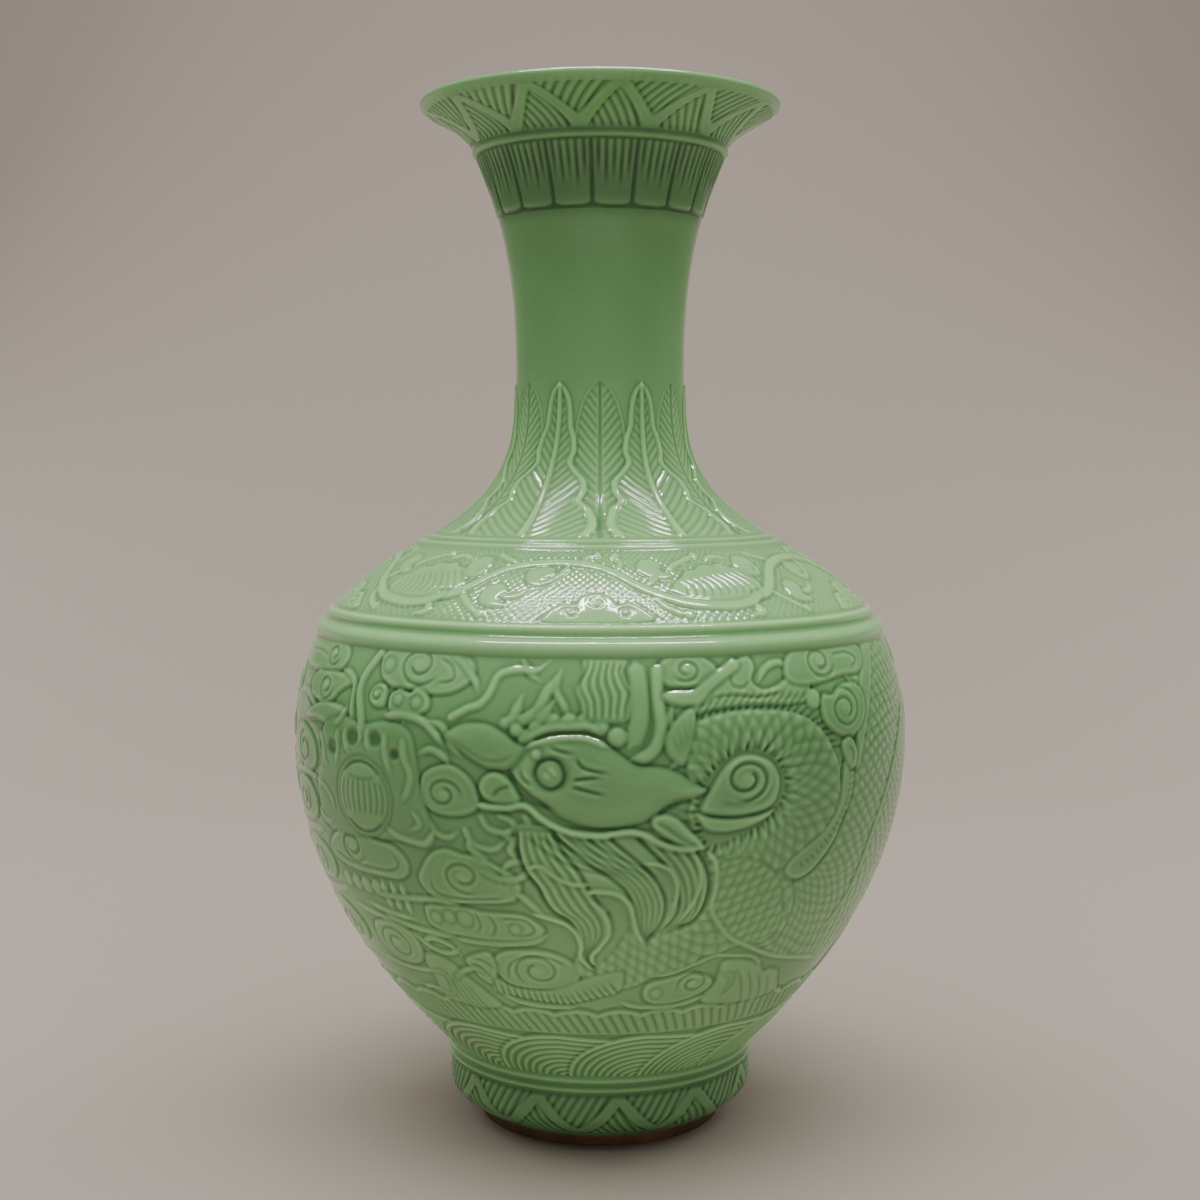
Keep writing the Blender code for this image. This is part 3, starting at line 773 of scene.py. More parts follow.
def carve_petals(sheet):
    """Grooves at even angles between the petals, closing in an arc at the foot, and flutes."""
    pitch = sheet.period / PETAL_COUNT
    dx = np.mod(sheet.grid_x + 4.0 + pitch, pitch) - pitch / 2
    y = sheet.grid_y
    end = 1.2 + 1.5 * (np.abs(dx) / (pitch / 2)) ** 4
    body = ease((y - end) / 1.2 + 0.3)
    gap = np.exp(-(((pitch / 2 - np.abs(dx)) / 0.9) ** 2))
    flutes = np.zeros_like(dx)
    for i, low in enumerate((10.0, 6.5, 8.5, 5.5, 9.0)):
        d = np.abs(dx - (i - 2) * pitch / 5.8)
        flutes = np.maximum(flutes, np.clip(1 - (d / 1.1) ** 2, 0, 1) * ease((y - low) / 11.0))
    crown = 0.35 * (1 - (dx / (pitch / 2)) ** 2)
    form = 0.3 + crown - 0.55 * flutes
    sheet.height[:] = body * form - 0.55 * gap * body - 0.2 * (1 - body) * ease((y + 1) / 2)


carve_petals(petals.sheet)
petals.finish(fade=(0.3, 0.6))
mouth = Band(MOUTH_RING, LIP, 960, 0.5, 1.0)
MOUTH_FOOT = run_at(MOUTH_RING) - run_at(PETALS)
key_fret(mouth.sheet, 31.0 - MOUTH_FOOT, 52.4 - MOUTH_FOOT, 30.0, -8.5, 4.6, 3.3, 0.5, 1.7, 0.6, 1.25)
mouth.finish(fade=(0.8, 0.5))

# %% The plain neck
neck = Band(LEAF_TOP, PETALS, 360, 1.5, 1.0)
neck.finish()

# %% [markdown]
# The belly. Two dragons chase two pearls round it, so the drawing covers half the pot and comes
# twice. Small clouds fill the strip where one half meets the other. It is drawn from the back to
# the front: the ground and the sea, the clouds, the scaled body, the mane, the head, the pearl and
# at last the whiskers that cross everything.

# %% The belly's sheet
belly = Band(WAVE_TOP, MOULDING, 1320, 0.55, 2.0, repeats=2, ground=-0.08)
sheet = belly.sheet
print("belly sheet", sheet.height.shape, "points for half the pot")


# %% The sea's edge and the rocks
def sea_edge(sheet):
    """Scallops 20 mm wide over slanting cuts: edge = 12 + 2.8 |sin(pi (x + 1) / 20)|^0.7."""
    x, y = sheet.grid_x, sheet.grid_y
    edge = 12.0 + 2.8 * np.abs(np.sin(np.pi * (x + 1.0) / 20.0)) ** 0.7
    on = ease((edge - y) / 0.8 + 0.5)
    cuts = np.abs(np.mod(x + 0.5 * y + 2.5, 5.0) - 2.5)
    groove = np.clip(1 - (cuts / 0.9) ** 2, 0, 1) * ease((edge - 1.5 - y) / 1.5) * ease(y / 1.5)
    rim = np.exp(-(((edge - 0.9 - y) / 0.8) ** 2))
    band = ease((20.0 - y) / 2.0)
    sheet.height += band * (0.05 - sheet.height) * 0.7
    sheet.height -= 0.55 * np.exp(-(((y - edge - 0.9) / 1.0) ** 2))
    sheet.height += on * (0.25 + 0.3 * rim - 0.7 * groove - sheet.height)


sea_edge(sheet)
ROCK_RIGHT = [(46, 17), (50, 27), (50, 36), (55, 37.5), (61, 36.5), (67, 34), (71, 31.5), (74, 28),
    (77, 28.5), (80, 28), (84, 26), (87, 22), (90, 18), (93, 14), (80, 12), (60, 13)]
ROCK_LEFT = [(-78, 14), (-78, 24), (-79, 32), (-77, 36), (-70, 37), (-63, 34), (-58, 28), (-52, 22),
    (-46, 14), (-60, 11)]
ROCK_FAR = [(132, 13), (136, 26), (143, 33), (151, 36), (160, 34), (166, 27), (174, 24), (182, 18),
    (186, 12), (158, 11)]
for rock in (ROCK_RIGHT, ROCK_LEFT, ROCK_FAR):
    sheet.pad(rock, top=0.45, edge=2.0, crown=0.2, moat=0.5)
sheet.comb([(57, 34), (64, 24), (72, 8)], [(84, 23), (88, 18), (94, 6)], 5, 1.3, 0.5)
sheet.comb([(-72, 33), (-70, 20), (-66, 3)], [(-61, 27), (-56, 15), (-50, 3)], 5, 1.3, 0.5)
sheet.comb([(145, 30), (147, 20), (151, 5)], [(163, 28), (168, 18), (175, 5)], 5, 1.3, 0.5)


# %% Clouds
CLOUD_TOP = 0.28


def cloud(sheet, outline, swirls=(), balls=(), cuts=()):
    """A cloud: a pad with a thin raised rim, curls cut as spirals and balls laid on."""
    sheet.pad(outline, top=CLOUD_TOP, edge=1.4, crown=0.2, rim=0.25, moat=0.65)
    for x, y, radius, turns, start, hand in swirls:
        sheet.swirl(x, y, radius, turns, start, hand, width=1.5, depth=0.6, head=0.7)
    for x, y, radius in balls:
        sheet.ball(x, y, radius, top=CLOUD_TOP + 0.3, moat=0.5)
    for points in cuts:
        sheet.cut(points, 1.4, 0.55, (2.0, 3.0), lip=0.2)


cloud(sheet, [(-42, 31), (-44, 36), (-41, 41), (-35, 44), (-25, 45), (-17, 43.5), (-11, 40), (-8, 35),
    (-9, 30), (-15, 27), (-24, 25.5), (-33, 25.5), (-39, 27.5)],
    swirls=[(-24.5, 35, 10.5, 1.35, 235, -1)], cuts=[[(-38, 30), (-36, 37), (-29, 41.5), (-20, 41.5),
    (-13, 38)]])
cloud(sheet, [(-56, 37), (-50, 40.5), (-44, 42), (-42, 37), (-43, 31), (-45, 25), (-50, 27),
    (-54, 32)], cuts=[[(-54, 36), (-49, 34), (-45, 29)], [(-52, 38.5), (-47, 37.5), (-43, 34)]])
cloud(sheet, [(-67, 70), (-64, 76), (-60, 81), (-54, 83.5), (-47, 82), (-41, 82), (-36, 79),
    (-30, 76), (-27, 71), (-29, 66), (-34, 64), (-44, 63), (-55, 62), (-63, 64)],
    swirls=[(-48, 73.5, 8.5, 1.2, 300, -1)], cuts=[[(-62, 71), (-60, 66), (-52, 64.5), (-42, 65),
    (-34, 66)], [(-39, 79), (-34, 75), (-33, 70)]])
cloud(sheet, [(-68, 56), (-66, 60), (-58, 61), (-50, 61), (-42, 60), (-30, 60), (-24, 58), (-20, 54),
    (-23, 50), (-32, 48), (-45, 47.5), (-60, 48.5), (-67, 51)],
    balls=[(-63, 55, 2.4), (-57, 56, 2.6), (-50.5, 56, 3.4), (-31, 53.5, 2.2)],
    cuts=[[(-41, 59), (-38.5, 54), (-41, 49)], [(-46, 60), (-44.5, 54), (-47, 50)],
    [(-36, 58), (-27, 57.5), (-24, 53), (-30, 50)]])
cloud(sheet, [(-117, 76), (-116, 71), (-106, 68.5), (-95, 67.8), (-85, 68), (-76, 68.5), (-71, 72),
    (-71, 77), (-76, 81.5), (-84, 82.5), (-95, 84.5), (-108, 82)],
    swirls=[(-99, 78, 8.0, 1.25, 330, -1)], cuts=[[(-112, 74), (-104, 71.5), (-92, 71), (-80, 71.5),
    (-75, 74.5), (-78, 79)]])
for x in (-110, -103.5, -97, -90.5):
    sheet.ball(x, 62.5, 3.3, top=0.6)
for x in (-86, -81, -76):
    sheet.cord([(x - 0.5, 67), (x, 60), (x + 0.5, 54)], 3.0, top=0.65)
for points in ([(-112, 52), (-98, 50), (-85, 48.5), (-70, 48), (-57, 47.5)],
        [(-100, 55), (-88, 52.8), (-74, 52)]):
    sheet.cord(points, 2.6, top=0.6, ends=(6, 6))
cloud(sheet, [(-106, 38), (-103, 45), (-95, 48), (-86, 48), (-79, 45), (-77, 39), (-79, 33),
    (-86, 29), (-96, 28.5), (-103, 32)], swirls=[(-91, 38, 10.5, 1.4, 200, -1)])
sheet.cord([(-76, 40), (-70, 44.5), (-62, 43), (-57, 38)], 2.6, top=0.6)
sheet.cord([(-110, 28), (-98, 26.5), (-84, 26.8), (-71, 28), (-69, 22), (-72, 16.5), (-82, 18),
    (-90, 17)], 2.4, top=0.55)
cloud(sheet, [(18, 25), (20, 29), (27, 31), (36, 33), (44, 31), (49, 27), (46, 22), (36, 18),
    (26, 17), (19.5, 20)], swirls=[(39.5, 27.5, 7.5, 1.3, 210, -1)], balls=[(24, 23.5, 2.6)])
cloud(sheet, [(-86, 148), (-84, 142), (-78, 138.5), (-68, 138), (-60, 137), (-52, 138), (-46, 141.5),
    (-44, 146), (-47, 150.5), (-56, 152), (-70, 153), (-82, 152)],
    swirls=[(-67, 147, 9.5, 1.35, 330, -1)], balls=[(-81, 146, 2.8)],
    cuts=[[(-58, 150), (-53, 147), (-52, 142.5), (-58, 141)]])
cloud(sheet, [(-88, 134), (-86, 138), (-81, 139), (-79, 135), (-80, 131), (-85, 131)],
    swirls=[(-84, 135, 3.6, 1.1, 0, 1)])
cloud(sheet, [(-77, 130), (-78, 135), (-74, 138), (-69, 137), (-66, 139), (-61, 136.5), (-60, 132),
    (-64, 129.5), (-70, 130)], balls=[(-73.5, 134, 2.2), (-65.5, 133.5, 2.2)])
sheet.cord([(-79, 128), (-70, 129), (-62, 127.5), (-57, 124), (-54, 120.5)], 3.0, top=0.65)
cloud(sheet, [(-150, 141), (-136, 140), (-120, 140.5), (-110, 141.5), (-106, 146), (-109, 151),
    (-120, 152.5), (-150, 153)], swirls=[(-118, 147, 6.0, 1.2, 0, -1)],
    cuts=[[(-145, 147), (-132, 147.5), (-123, 146)]])
cloud(sheet, [(-134, 135), (-130, 130.5), (-120, 129), (-111, 130), (-106, 134), (-100, 137),
    (-96, 137.5), (-101, 140), (-110, 141), (-120, 140.5), (-130, 139.5)],
    swirls=[(-117.5, 135, 6.5, 1.25, 0, -1)])
sheet.pad([(-134, 121), (-128, 126), (-118, 129), (-108, 129.5), (-101, 128), (-101, 122),
    (-110, 121), (-120, 122.5)], top=0.5, edge=1.6, rim=0.2)
cloud(sheet, [(-146, 112), (-142, 118), (-134, 119), (-126, 117), (-120, 112), (-120, 105),
    (-128, 102), (-138, 104)], swirls=[(-132, 110, 8.0, 1.3, 90, 1)])
cloud(sheet, [(-150, 88), (-147, 96), (-138, 99), (-128, 98), (-122, 92), (-124, 85), (-134, 82),
    (-144, 83)], swirls=[(-137, 90, 8.0, 1.3, 60, -1)])
cloud(sheet, [(-152, 64), (-146, 73), (-134, 76), (-122, 73), (-118, 66), (-124, 60), (-136, 58),
    (-147, 59)], swirls=[(-134, 67, 8.5, 1.3, 200, 1)])
cloud(sheet, [(-148, 38), (-144, 47), (-132, 51), (-120, 48), (-114, 41), (-118, 34), (-130, 31),
    (-142, 32)], swirls=[(-130, 40, 9.5, 1.35, 20, -1)])
for points in (
        [(-180, 30), (-165, 28), (-150, 25), (-135, 24), (-118, 24)],
        [(-180, 56), (-168, 55), (-158, 52)],
        [(-178, 80), (-166, 80), (-155, 79)],
        [(-176, 104), (-164, 104), (-152, 101)]):
    sheet.cord(points, 2.8, top=0.6, ends=(6, 6))

# %% Small clouds behind the tall body, where one half of the drawing meets the other
LOBES = np.array([(-15, -3), (-13, 3), (-8, 6), (-3, 5), (2, 8.5), (8, 8), (13, 4.5), (15, -1),
    (11, -6), (4, -6), (-3, -8), (-11, -7)])
for x, y, size, tilt, hand in ((173, 144, 0.85, -8, 1), (197, 133, 0.80, 10, -1),
        (175, 122, 0.85, 14, -1), (172, 103, 0.72, -10, 1), (194, 116, 0.72, -12, 1),
        (195, 92, 0.78, 6, -1), (172, 84, 0.76, 12, 1), (172, 65, 0.80, -6, -1),
        (195, 68, 0.78, -8, 1), (170, 47, 0.80, 10, 1), (194, 43, 0.82, -6, -1)):
    c, s = np.cos(np.radians(tilt)), np.sin(np.radians(tilt))
    outline = np.array([x, y]) + size * LOBES @ np.array([[c, s], [-s, c]])
    cloud(sheet, [tuple(point) for point in outline], swirls=[(x + 3 * size, y + 0.5, 8.0 * size,
        1.25, 90 + 9 * tilt, hand)])
for points in (
        [(163, 133), (172, 133.5), (184, 130)],
        [(164, 94), (174, 94), (184, 97)],
        [(162, 74.5), (172, 75), (182, 73)],
        [(160, 56), (170, 56), (182, 53)],
        [(184, 106), (192, 103.5), (203, 107)],
        [(186, 126), (196, 123), (206, 125)]):
    sheet.cord(points, 2.4, top=0.5, ends=(5, 5), moat=0.45)

# %% Trails that fill the ground between the clouds
TRAILS = [
    [(-92, 60), (-80, 60.5), (-70, 61.5), (-60, 62.5), (-52, 61.5)],
    [(-91, 51), (-80, 49), (-70, 47.3), (-58, 46.6)],
    [(-58, 46.6), (-45, 46), (-32, 46.8), (-24, 48.6), (-19, 52)],
    [(-108, 142), (-102, 141), (-98, 137.5), (-97, 129), (-95, 122)],
    [(-76, 40), (-70, 44.5), (-62, 43), (-57, 38)],
    [(-79, 45.5), (-72, 40.5), (-66, 38.5), (-60, 39.5), (-57, 42)],
    [(-70, 127), (-72, 118), (-71, 110), (-68, 103), (-64, 95), (-62, 90)],
    [(-60, 128), (-54, 126), (-50, 120), (-46, 116)],
    [(-63, 116), (-58, 118), (-53, 116), (-50, 112)],
    [(-66, 100), (-63, 96), (-60, 90), (-62, 84)],
    [(-22, 92), (-20, 86), (-24, 81), (-30, 80), (-34, 76)],
    [(-36, 93), (-30, 89), (-26, 84)],
    [(-44, 78), (-36, 74), (-28, 74), (-22, 79)],
    [(-31, 70), (-26, 66), (-22, 62), (-19, 60)],
    [(-67, 24), (-60, 30), (-52, 33), (-47, 30)],
    [(-46, 24), (-40, 19.5), (-34, 17), (-22, 16), (-10, 16.5)],
    [(8, 20), (14, 17), (22, 15.8), (36, 16), (48, 20)],
    [(51, 31), (57, 29), (58, 24), (56, 19)],
    [(-124, 127), (-136, 131), (-150, 130)],
    [(-118, 100), (-126, 101), (-140, 101), (-152, 98)],
    [(-120, 80), (-132, 79.5), (-146, 78)],
    [(-112, 58), (-124, 56), (-140, 55), (-155, 57)],
    [(22, 113), (27, 118), (27, 124), (23, 129), (24, 135)],
    [(-13, 148), (-15, 141), (-12, 135), (-10, 131)],
    [(56, 141), (60, 146), (66, 148), (72, 146)],
    [(108, 129), (104, 126), (101, 121), (95, 118.5)],
    [(-56, 152), (-50, 149), (-44, 143), (-42, 138)],
    [(-20, 143), (-24, 146), (-28, 152)]]
for points in TRAILS:
    sheet.cord(points, 2.6, top=0.4, ends=(5, 5), moat=0.55)
sheet.fringe([(-88, 60.5), (-80, 61), (-72, 61.5)], 2.6, 0.1, 0.0, 1.0, 0.2)

# %% The cloud's flames beside the jaws
cloud(sheet, [(-62, 104), (-61, 109), (-57, 112), (-51, 113.5), (-45, 111), (-41, 106), (-40, 100),
    (-43, 97), (-49, 95.5), (-56, 96), (-61, 99)], swirls=[(-53, 103, 7.0, 1.25, 350, 1)])
for points in (
        [(-60, 94), (-57, 89), (-52, 87.5), (-48, 90)],
        [(-46, 92), (-43, 86), (-36, 84.5), (-31, 88)],
        [(-40, 97), (-37, 92), (-31, 91), (-27, 94)],
        [(-34, 97), (-29, 95), (-27, 90), (-30, 85), (-28, 81)],
        [(-44, 88), (-44, 84), (-38, 81)],
        [(-25, 98), (-23, 93), (-25, 88), (-22, 83)]):
    sheet.cord(points, 2.4, top=0.4, ends=(1.0, 4.0), moat=0.4)

# %% [markdown]
# The dragon's body is one long scaled tube. It shows three times: a coil round a curled cloud, the
# tall stretch on the right and the low one under the mane. Scales lie in rows across a spine line,
# each rising to its free edge. A row of belly plates edges the low stretch and a smooth ridge runs
# along the tall one.

# %% The scaled body
TALL_BODY = [(97, 150), (101, 136), (102, 124), (99, 112), (97, 98), (93, 86), (86, 74), (76, 68),
    (66, 66), (60, 56), (62, 44), (72, 37), (85, 33), (100, 30), (118, 27), (136, 30), (150, 48),
    (158, 80), (160, 112), (154, 135), (140, 150)]
TALL_SPINE = [(72, 40), (88, 48), (100, 62), (106, 80), (110, 98), (114, 118), (120, 134), (128, 152)]
LOW_BODY = [(-10, 40), (-6, 30), (0, 24), (7, 25.5), (15, 28), (22, 32), (30, 33.5), (36, 35.5),
    (40, 40), (47, 41), (57, 43.5), (66, 41), (74, 44), (76, 58), (70, 72), (58, 84), (44, 86),
    (34, 80), (24, 70), (10, 58), (-2, 48)]
LOW_SPINE = [(-12, 30), (5, 38), (22, 46), (34, 54), (40, 66), (42, 84)]
COIL = [(30, 127), (35, 130), (42, 131.5), (50, 132), (60, 131.5), (67, 130.5), (73, 128.5),
    (78, 125.5), (82, 122), (86, 116), (89, 110), (90.5, 103), (90.5, 96), (89, 90), (85, 85),
    (78, 81), (70, 76), (62, 74), (52, 76), (44, 80), (37, 84), (32, 90), (29, 97), (30, 106),
    (28, 114)]
COIL_SPINE = [(24, 104), (26, 113), (31, 121), (39, 125.5), (50, 127), (62, 125), (71, 119),
    (76, 108), (76, 98), (72, 88), (62, 82), (50, 80), (40, 84), (33, 92)]
ROUND_PATCH = [(41, 78), (40.5, 70), (40.5, 62), (43, 56), (48, 50), (54, 45.5), (60, 43.5), (68, 44),
    (72, 50), (70, 60), (66, 70), (58, 77), (49, 80)]
sheet.pad(TALL_BODY, top=0.2, edge=3.0, moat=0.3)
sheet.scaly(TALL_BODY, TALL_SPINE, along=5.0, across=7.4, top=0.5, base=-0.1)
sheet.pad(LOW_BODY, top=0.25, edge=2.6, moat=0.4)
sheet.scaly(LOW_BODY, LOW_SPINE, along=4.4, across=9.0, top=0.5, base=-0.05, free=-0.8)
sheet.pad(COIL, top=0.3, edge=3.0, moat=0.35)
sheet.scaly(COIL, COIL_SPINE, along=4.6, across=9.5, top=0.5, base=-0.02)
sheet.pad(ROUND_PATCH, top=0.3, edge=2.0, moat=0.4)
sheet.scaly(ROUND_PATCH, [(38, 78), (48, 66), (58, 56), (70, 44)], along=4.6, across=8.4, top=0.5, base=-0.02)
sheet.cord([(40, 78), (40.5, 70), (40, 62), (43, 56), (48, 50), (54, 45.5), (60, 42.5), (68, 38.5),
    (78, 34.5), (92, 31), (110, 27)], 1.8, top=0.65, ends=(3, 5), moat=0.25)
sheet.cord([(20, 32), (30, 33.5), (38, 37), (46, 40), (54, 39), (64, 37), (71, 32)], 1.6, top=0.55,
    ends=(6, 3), moat=0.2)
sheet.fringe([(30, 128), (35, 130.3), (42, 132), (50, 132.5), (60, 132), (67, 131), (74, 128.5),
    (79, 125.5), (83, 121.5), (87, 116)], 2.8, 3.8, 2.8, 1.3, 0.7)
sheet.fringe([(91, 112), (91.8, 103), (91.3, 95), (88.5, 88.5), (84, 83.5), (78, 79.5), (71, 75)],
    2.6, 2.6, 1.2, 1.2, 0.6)
BELLY_STRIP = [(98, 110), (97.5, 100), (95.5, 93), (93, 88), (90.5, 82), (86, 76), (80, 70.5),
    (74, 69), (69, 71), (68, 75), (73, 79.5), (80, 83.5), (86, 88.5), (90, 95), (91, 102), (92, 110),
    (94, 113)]
sheet.pad(BELLY_STRIP, top=0.3, edge=1.4, rim=0.25, moat=0.5)
sheet.fringe([(96, 108), (95.2, 100), (92.5, 92), (87, 84.5), (80, 78), (73, 74)], 2.5, 2.8, -0.8, 1.2, 0.7)
sheet.cord([(102, 41), (108, 49), (112, 57), (114, 65), (116, 76), (119, 84), (123, 92), (132, 106),
    (141, 118), (150, 126)], 3.0, top=0.75, ends=(5, 8), moat=0.35)
sheet.pad([(98, 108), (100, 118), (103, 128), (107, 137), (112, 144), (118, 151), (127, 151),
    (122, 144), (116, 136), (110, 127), (105, 118), (101, 108)], top=0.4, edge=1.6, rim=0.12,
    moat=0.35)

# %% Belly plates
PLATE_EDGE = [(-47, 22.5), (-40, 21), (-32, 19.5), (-24, 18.5), (-15, 18), (-8, 19.5), (0, 22), (8, 25)]
PLATE_BACK = [(-44, 29), (-38, 25.8), (-30, 24.8), (-22, 25.5), (-14, 28), (-7, 31.5), (0, 34), (9, 35)]
sheet.pad(PLATE_EDGE + PLATE_BACK[::-1], top=0.4, edge=1.0, moat=0.45)
sheet.fringe(PLATE_EDGE, 3.0, 7.5, -1.6, 1.6, 0.9)

# %% The curled cloud inside the coil
SAW = [(36, 86), (33, 93), (32, 101), (34, 108), (39, 114), (45, 118), (51, 119), (57, 117.5),
    (62, 113), (64.5, 107), (63.5, 100), (60, 95.5), (55, 91.5), (48, 88.5), (41, 86)]
sheet.pad(SAW, top=-0.3, edge=1.0, moat=0.2)
sheet.fringe(SAW, 2.3, 3.0, 0.9, 1.3, 0.9, closed=True)
sheet.fringe(SAW, 3.4, 9.0, 3.4, 1.3, 0.55, closed=True)
sheet.pad([(33, 99), (37, 97), (45, 96), (53, 96.5), (59, 98.5), (61.5, 103), (61.5, 109), (58, 114),
    (52, 116.6), (46, 116.5), (41, 113), (37, 107)], top=0.45, edge=1.8, rim=0.18, moat=0.3)
sheet.pad([(31, 98), (35, 92), (42, 90.5), (50, 91.5), (57, 94), (60.5, 97), (54, 95.5), (45, 95),
    (37, 96)], top=0.45, edge=1.2, rim=0.1)
sheet.cut([(40, 101), (48, 99.5), (56, 101), (59.5, 106)], 1.6, 0.35, (2, 2))
sheet.swirl(49, 108.5, 9.5, 1.45, 250, 1, width=1.9, depth=0.8, head=0.9)

# %% Clouds over the coil
cloud(sheet, [(29, 131), (32, 136), (36, 142), (41, 146), (48, 149.5), (54, 151), (56, 147),
    (54, 142), (58, 139), (64, 140), (70, 143), (76, 143.5), (79, 139), (76, 134), (70, 133),
    (62, 133.5), (50, 134), (38, 133)], cuts=[[(46, 145), (46, 141), (50, 140), (53, 142.5)],
    [(38, 137), (46, 137.5), (56, 136.5), (66, 137.5)]])
sheet.fringe([(31, 131.5), (40, 133.5), (50, 134.3), (62, 134), (74, 133)], 3.0, 4.6, 4.4, 1.4, 0.7)
sheet.ball(79, 134, 3.6, top=0.7)
cloud(sheet, [(84, 124), (82, 130), (84, 135), (89, 134.5), (93, 137), (99, 138), (105, 137),
    (108, 132), (106, 125), (100, 120), (92, 119.5)], swirls=[(94.5, 129, 9.5, 1.5, 110, -1)])
cloud(sheet, [(68, 143), (72, 139.5), (80, 139), (88, 140), (98, 141), (108, 141), (114, 145),
    (114, 151), (100, 153), (80, 153), (71, 150)], swirls=[(86, 147, 8.0, 1.3, 350, -1)],
    cuts=[[(94, 149), (103, 149), (109, 146), (104, 143)]])
cloud(sheet, [(92, 112), (91, 117), (95, 119), (99, 116), (99, 109), (96, 107)],
    cuts=[[(94, 116), (97, 113), (96, 109)]])
cloud(sheet, [(22, 142), (20, 148), (24, 152), (34, 152.5), (40, 149), (42, 144), (36, 141.5),
    (29, 141)], swirls=[(30, 147, 5.5, 1.2, 200, 1)])

# %% [markdown]
# The mane streams down from the jaw in locks. A lock is a pad between two flowing lines, combed
# with cuts that blend from one line to the other, and each lock lies over the one before.


# %% The mane
def lock(sheet, left, right, cuts):
    """A lock of hair between two lines that meet at its tip, cut into strands."""
    outline = np.vstack([flowing(left), flowing(right)[::-1]])
    sheet.pad(outline, top=0.45, edge=1.4, moat=0.5, crown=0.15, rim=0.15, smooth=False)
    sheet.comb(left, right, cuts, 1.7, 0.8, (1.5, 3.0))


LOCK_OUTER = [(-27, 92), (-27, 84), (-25, 77), (-21, 71), (-19, 66), (-16, 61.5), (-11, 58), (-8, 53),
    (-7, 47), (-7.5, 42), (-5, 38), (-2, 35.5)]
LOCK_INNER = [(-16, 92), (-12, 84), (-7, 77), (-4, 71), (-1, 66), (2.5, 59), (3, 53), (0.5, 48),
    (-2.5, 44), (-3.2, 40), (-2.4, 37.5), (-2, 35.5)]
FLOW_A = [(-16, 92), (-10, 86), (-3, 80), (4, 75), (9, 70), (12, 63), (13.5, 56), (15, 51), (17, 47.5)]
FLOW_B = [(2, 91), (7, 86), (13, 80.5), (18, 75), (21, 70), (22.8, 64), (22.2, 58), (20, 53), (17.5, 49)]
FLOW_C = [(12, 90.5), (17, 85), (22, 79.5), (25.5, 74), (27.5, 68), (28, 62), (26, 57), (22, 53)]
FLOW_D = [(31, 86), (35, 80), (37.5, 73), (37.5, 66), (36, 60), (33, 56), (28, 54)]
sheet.pad([(-27, 94), (-27, 84), (-25, 77), (-21, 71), (-16, 64), (-4, 60), (8, 62), (18, 52),
    (28, 54), (36, 60), (38.5, 70), (36, 80), (31, 88), (18, 92), (4, 92.5), (-12, 93)], top=0.25,
    edge=1.8, moat=0.4)
lock(sheet, FLOW_C, FLOW_D, 5)
lock(sheet, FLOW_A, FLOW_B, 6)
sheet.pad([(2, 69), (6, 68.3), (9.5, 65), (10.5, 60), (9.5, 54), (6, 48), (3, 43), (-0.5, 39.5),
    (-1.5, 41.5), (1.5, 47), (4, 52), (4.5, 57), (3, 63), (0.5, 67)], top=0.15, edge=2.0, moat=0.4)
lock(sheet, LOCK_OUTER, LOCK_INNER, 6)
sheet.comb([(-24, 90), (-17, 84), (-8, 79), (2, 76.5), (9, 74)],
    [(-6, 91), (1, 86), (10, 81), (17, 77), (21, 72)], 5, 1.6, 0.6, (2, 8))
sheet.pad([(19.5, 79.5), (23, 78), (25.8, 73.5), (26.2, 68), (24, 66), (22.6, 69), (21.5, 74)],
    top=0.1, edge=1.6, moat=0.3)
for points, width in (
        ([(-5, 69.5), (0, 70), (6, 68.7), (10.3, 64.5), (12, 58), (13.8, 52), (17, 47.5)], 2.0),
        ([(-4, 67), (0.5, 62.5), (3, 57), (3, 52), (0, 47), (-3, 43), (-3, 40), (-1, 37)], 1.8),
        ([(-24, 60.5), (-17, 58.5), (-12, 56.5), (-8.5, 52.5), (-7, 47), (-7.5, 42.5), (-4.5, 38),
            (-1.5, 35.3)], 1.8),
        ([(14, 80.5), (19, 80), (23.5, 77.5), (26, 73), (26.6, 67), (25.5, 61)], 1.6),
        ([(-25, 78), (-20, 79.3), (-16, 76), (-10, 73), (-3, 72.5)], 1.8),
        ([(28, 88), (32, 82), (34.5, 75), (34, 68), (31.5, 62), (28.5, 57)], 1.6),
        ([(36, 84), (39.5, 79), (40.5, 72)], 1.8)):
    sheet.cord(points, width, top=0.75, ends=(2, 4), moat=0.3)

# %% [markdown]
# The head is in profile and looks left: a long leaf-shaped snout, an arched brow with a lobed
# crest, a round eye, a broad smooth cheek that ends in fins, two horns and a tuft of hair. It is
# the highest and smoothest part of the carving, so the glaze on it is even and pale.

# %% Crest, tuft and horns
for x, y in ((-24, 124), (-20.5, 127.5), (-15.5, 129.5), (-10, 129.5), (-4.5, 130), (0, 128)):
    sheet.ball(x, y, 2.9, top=0.75, moat=0.35)
sheet.cord([(-25, 122), (-21, 125.5), (-15.5, 127.6), (-10, 127.8), (-4, 128.2), (1, 126)], 3.0,
    top=0.75, moat=0.2)
sheet.pad([(-5, 151.5), (-5.5, 147), (-7, 143), (-8, 140), (-6.5, 136), (-5, 131), (0, 129.5),
    (5, 129.5), (9, 130), (10.5, 134), (11, 139), (9, 143), (8, 147), (9, 151)], top=0.35, edge=1.4)
sheet.comb([(-4, 151), (-4.5, 147.5), (-6.5, 143.5), (-6.5, 140), (-4.5, 136), (-4, 130)],
    [(7.5, 150), (6.5, 146.5), (8, 142), (9.5, 139), (8.5, 134.5), (8, 130)], 6, 1.3, 0.6, (1.5, 1.5),
    lip=0.25)
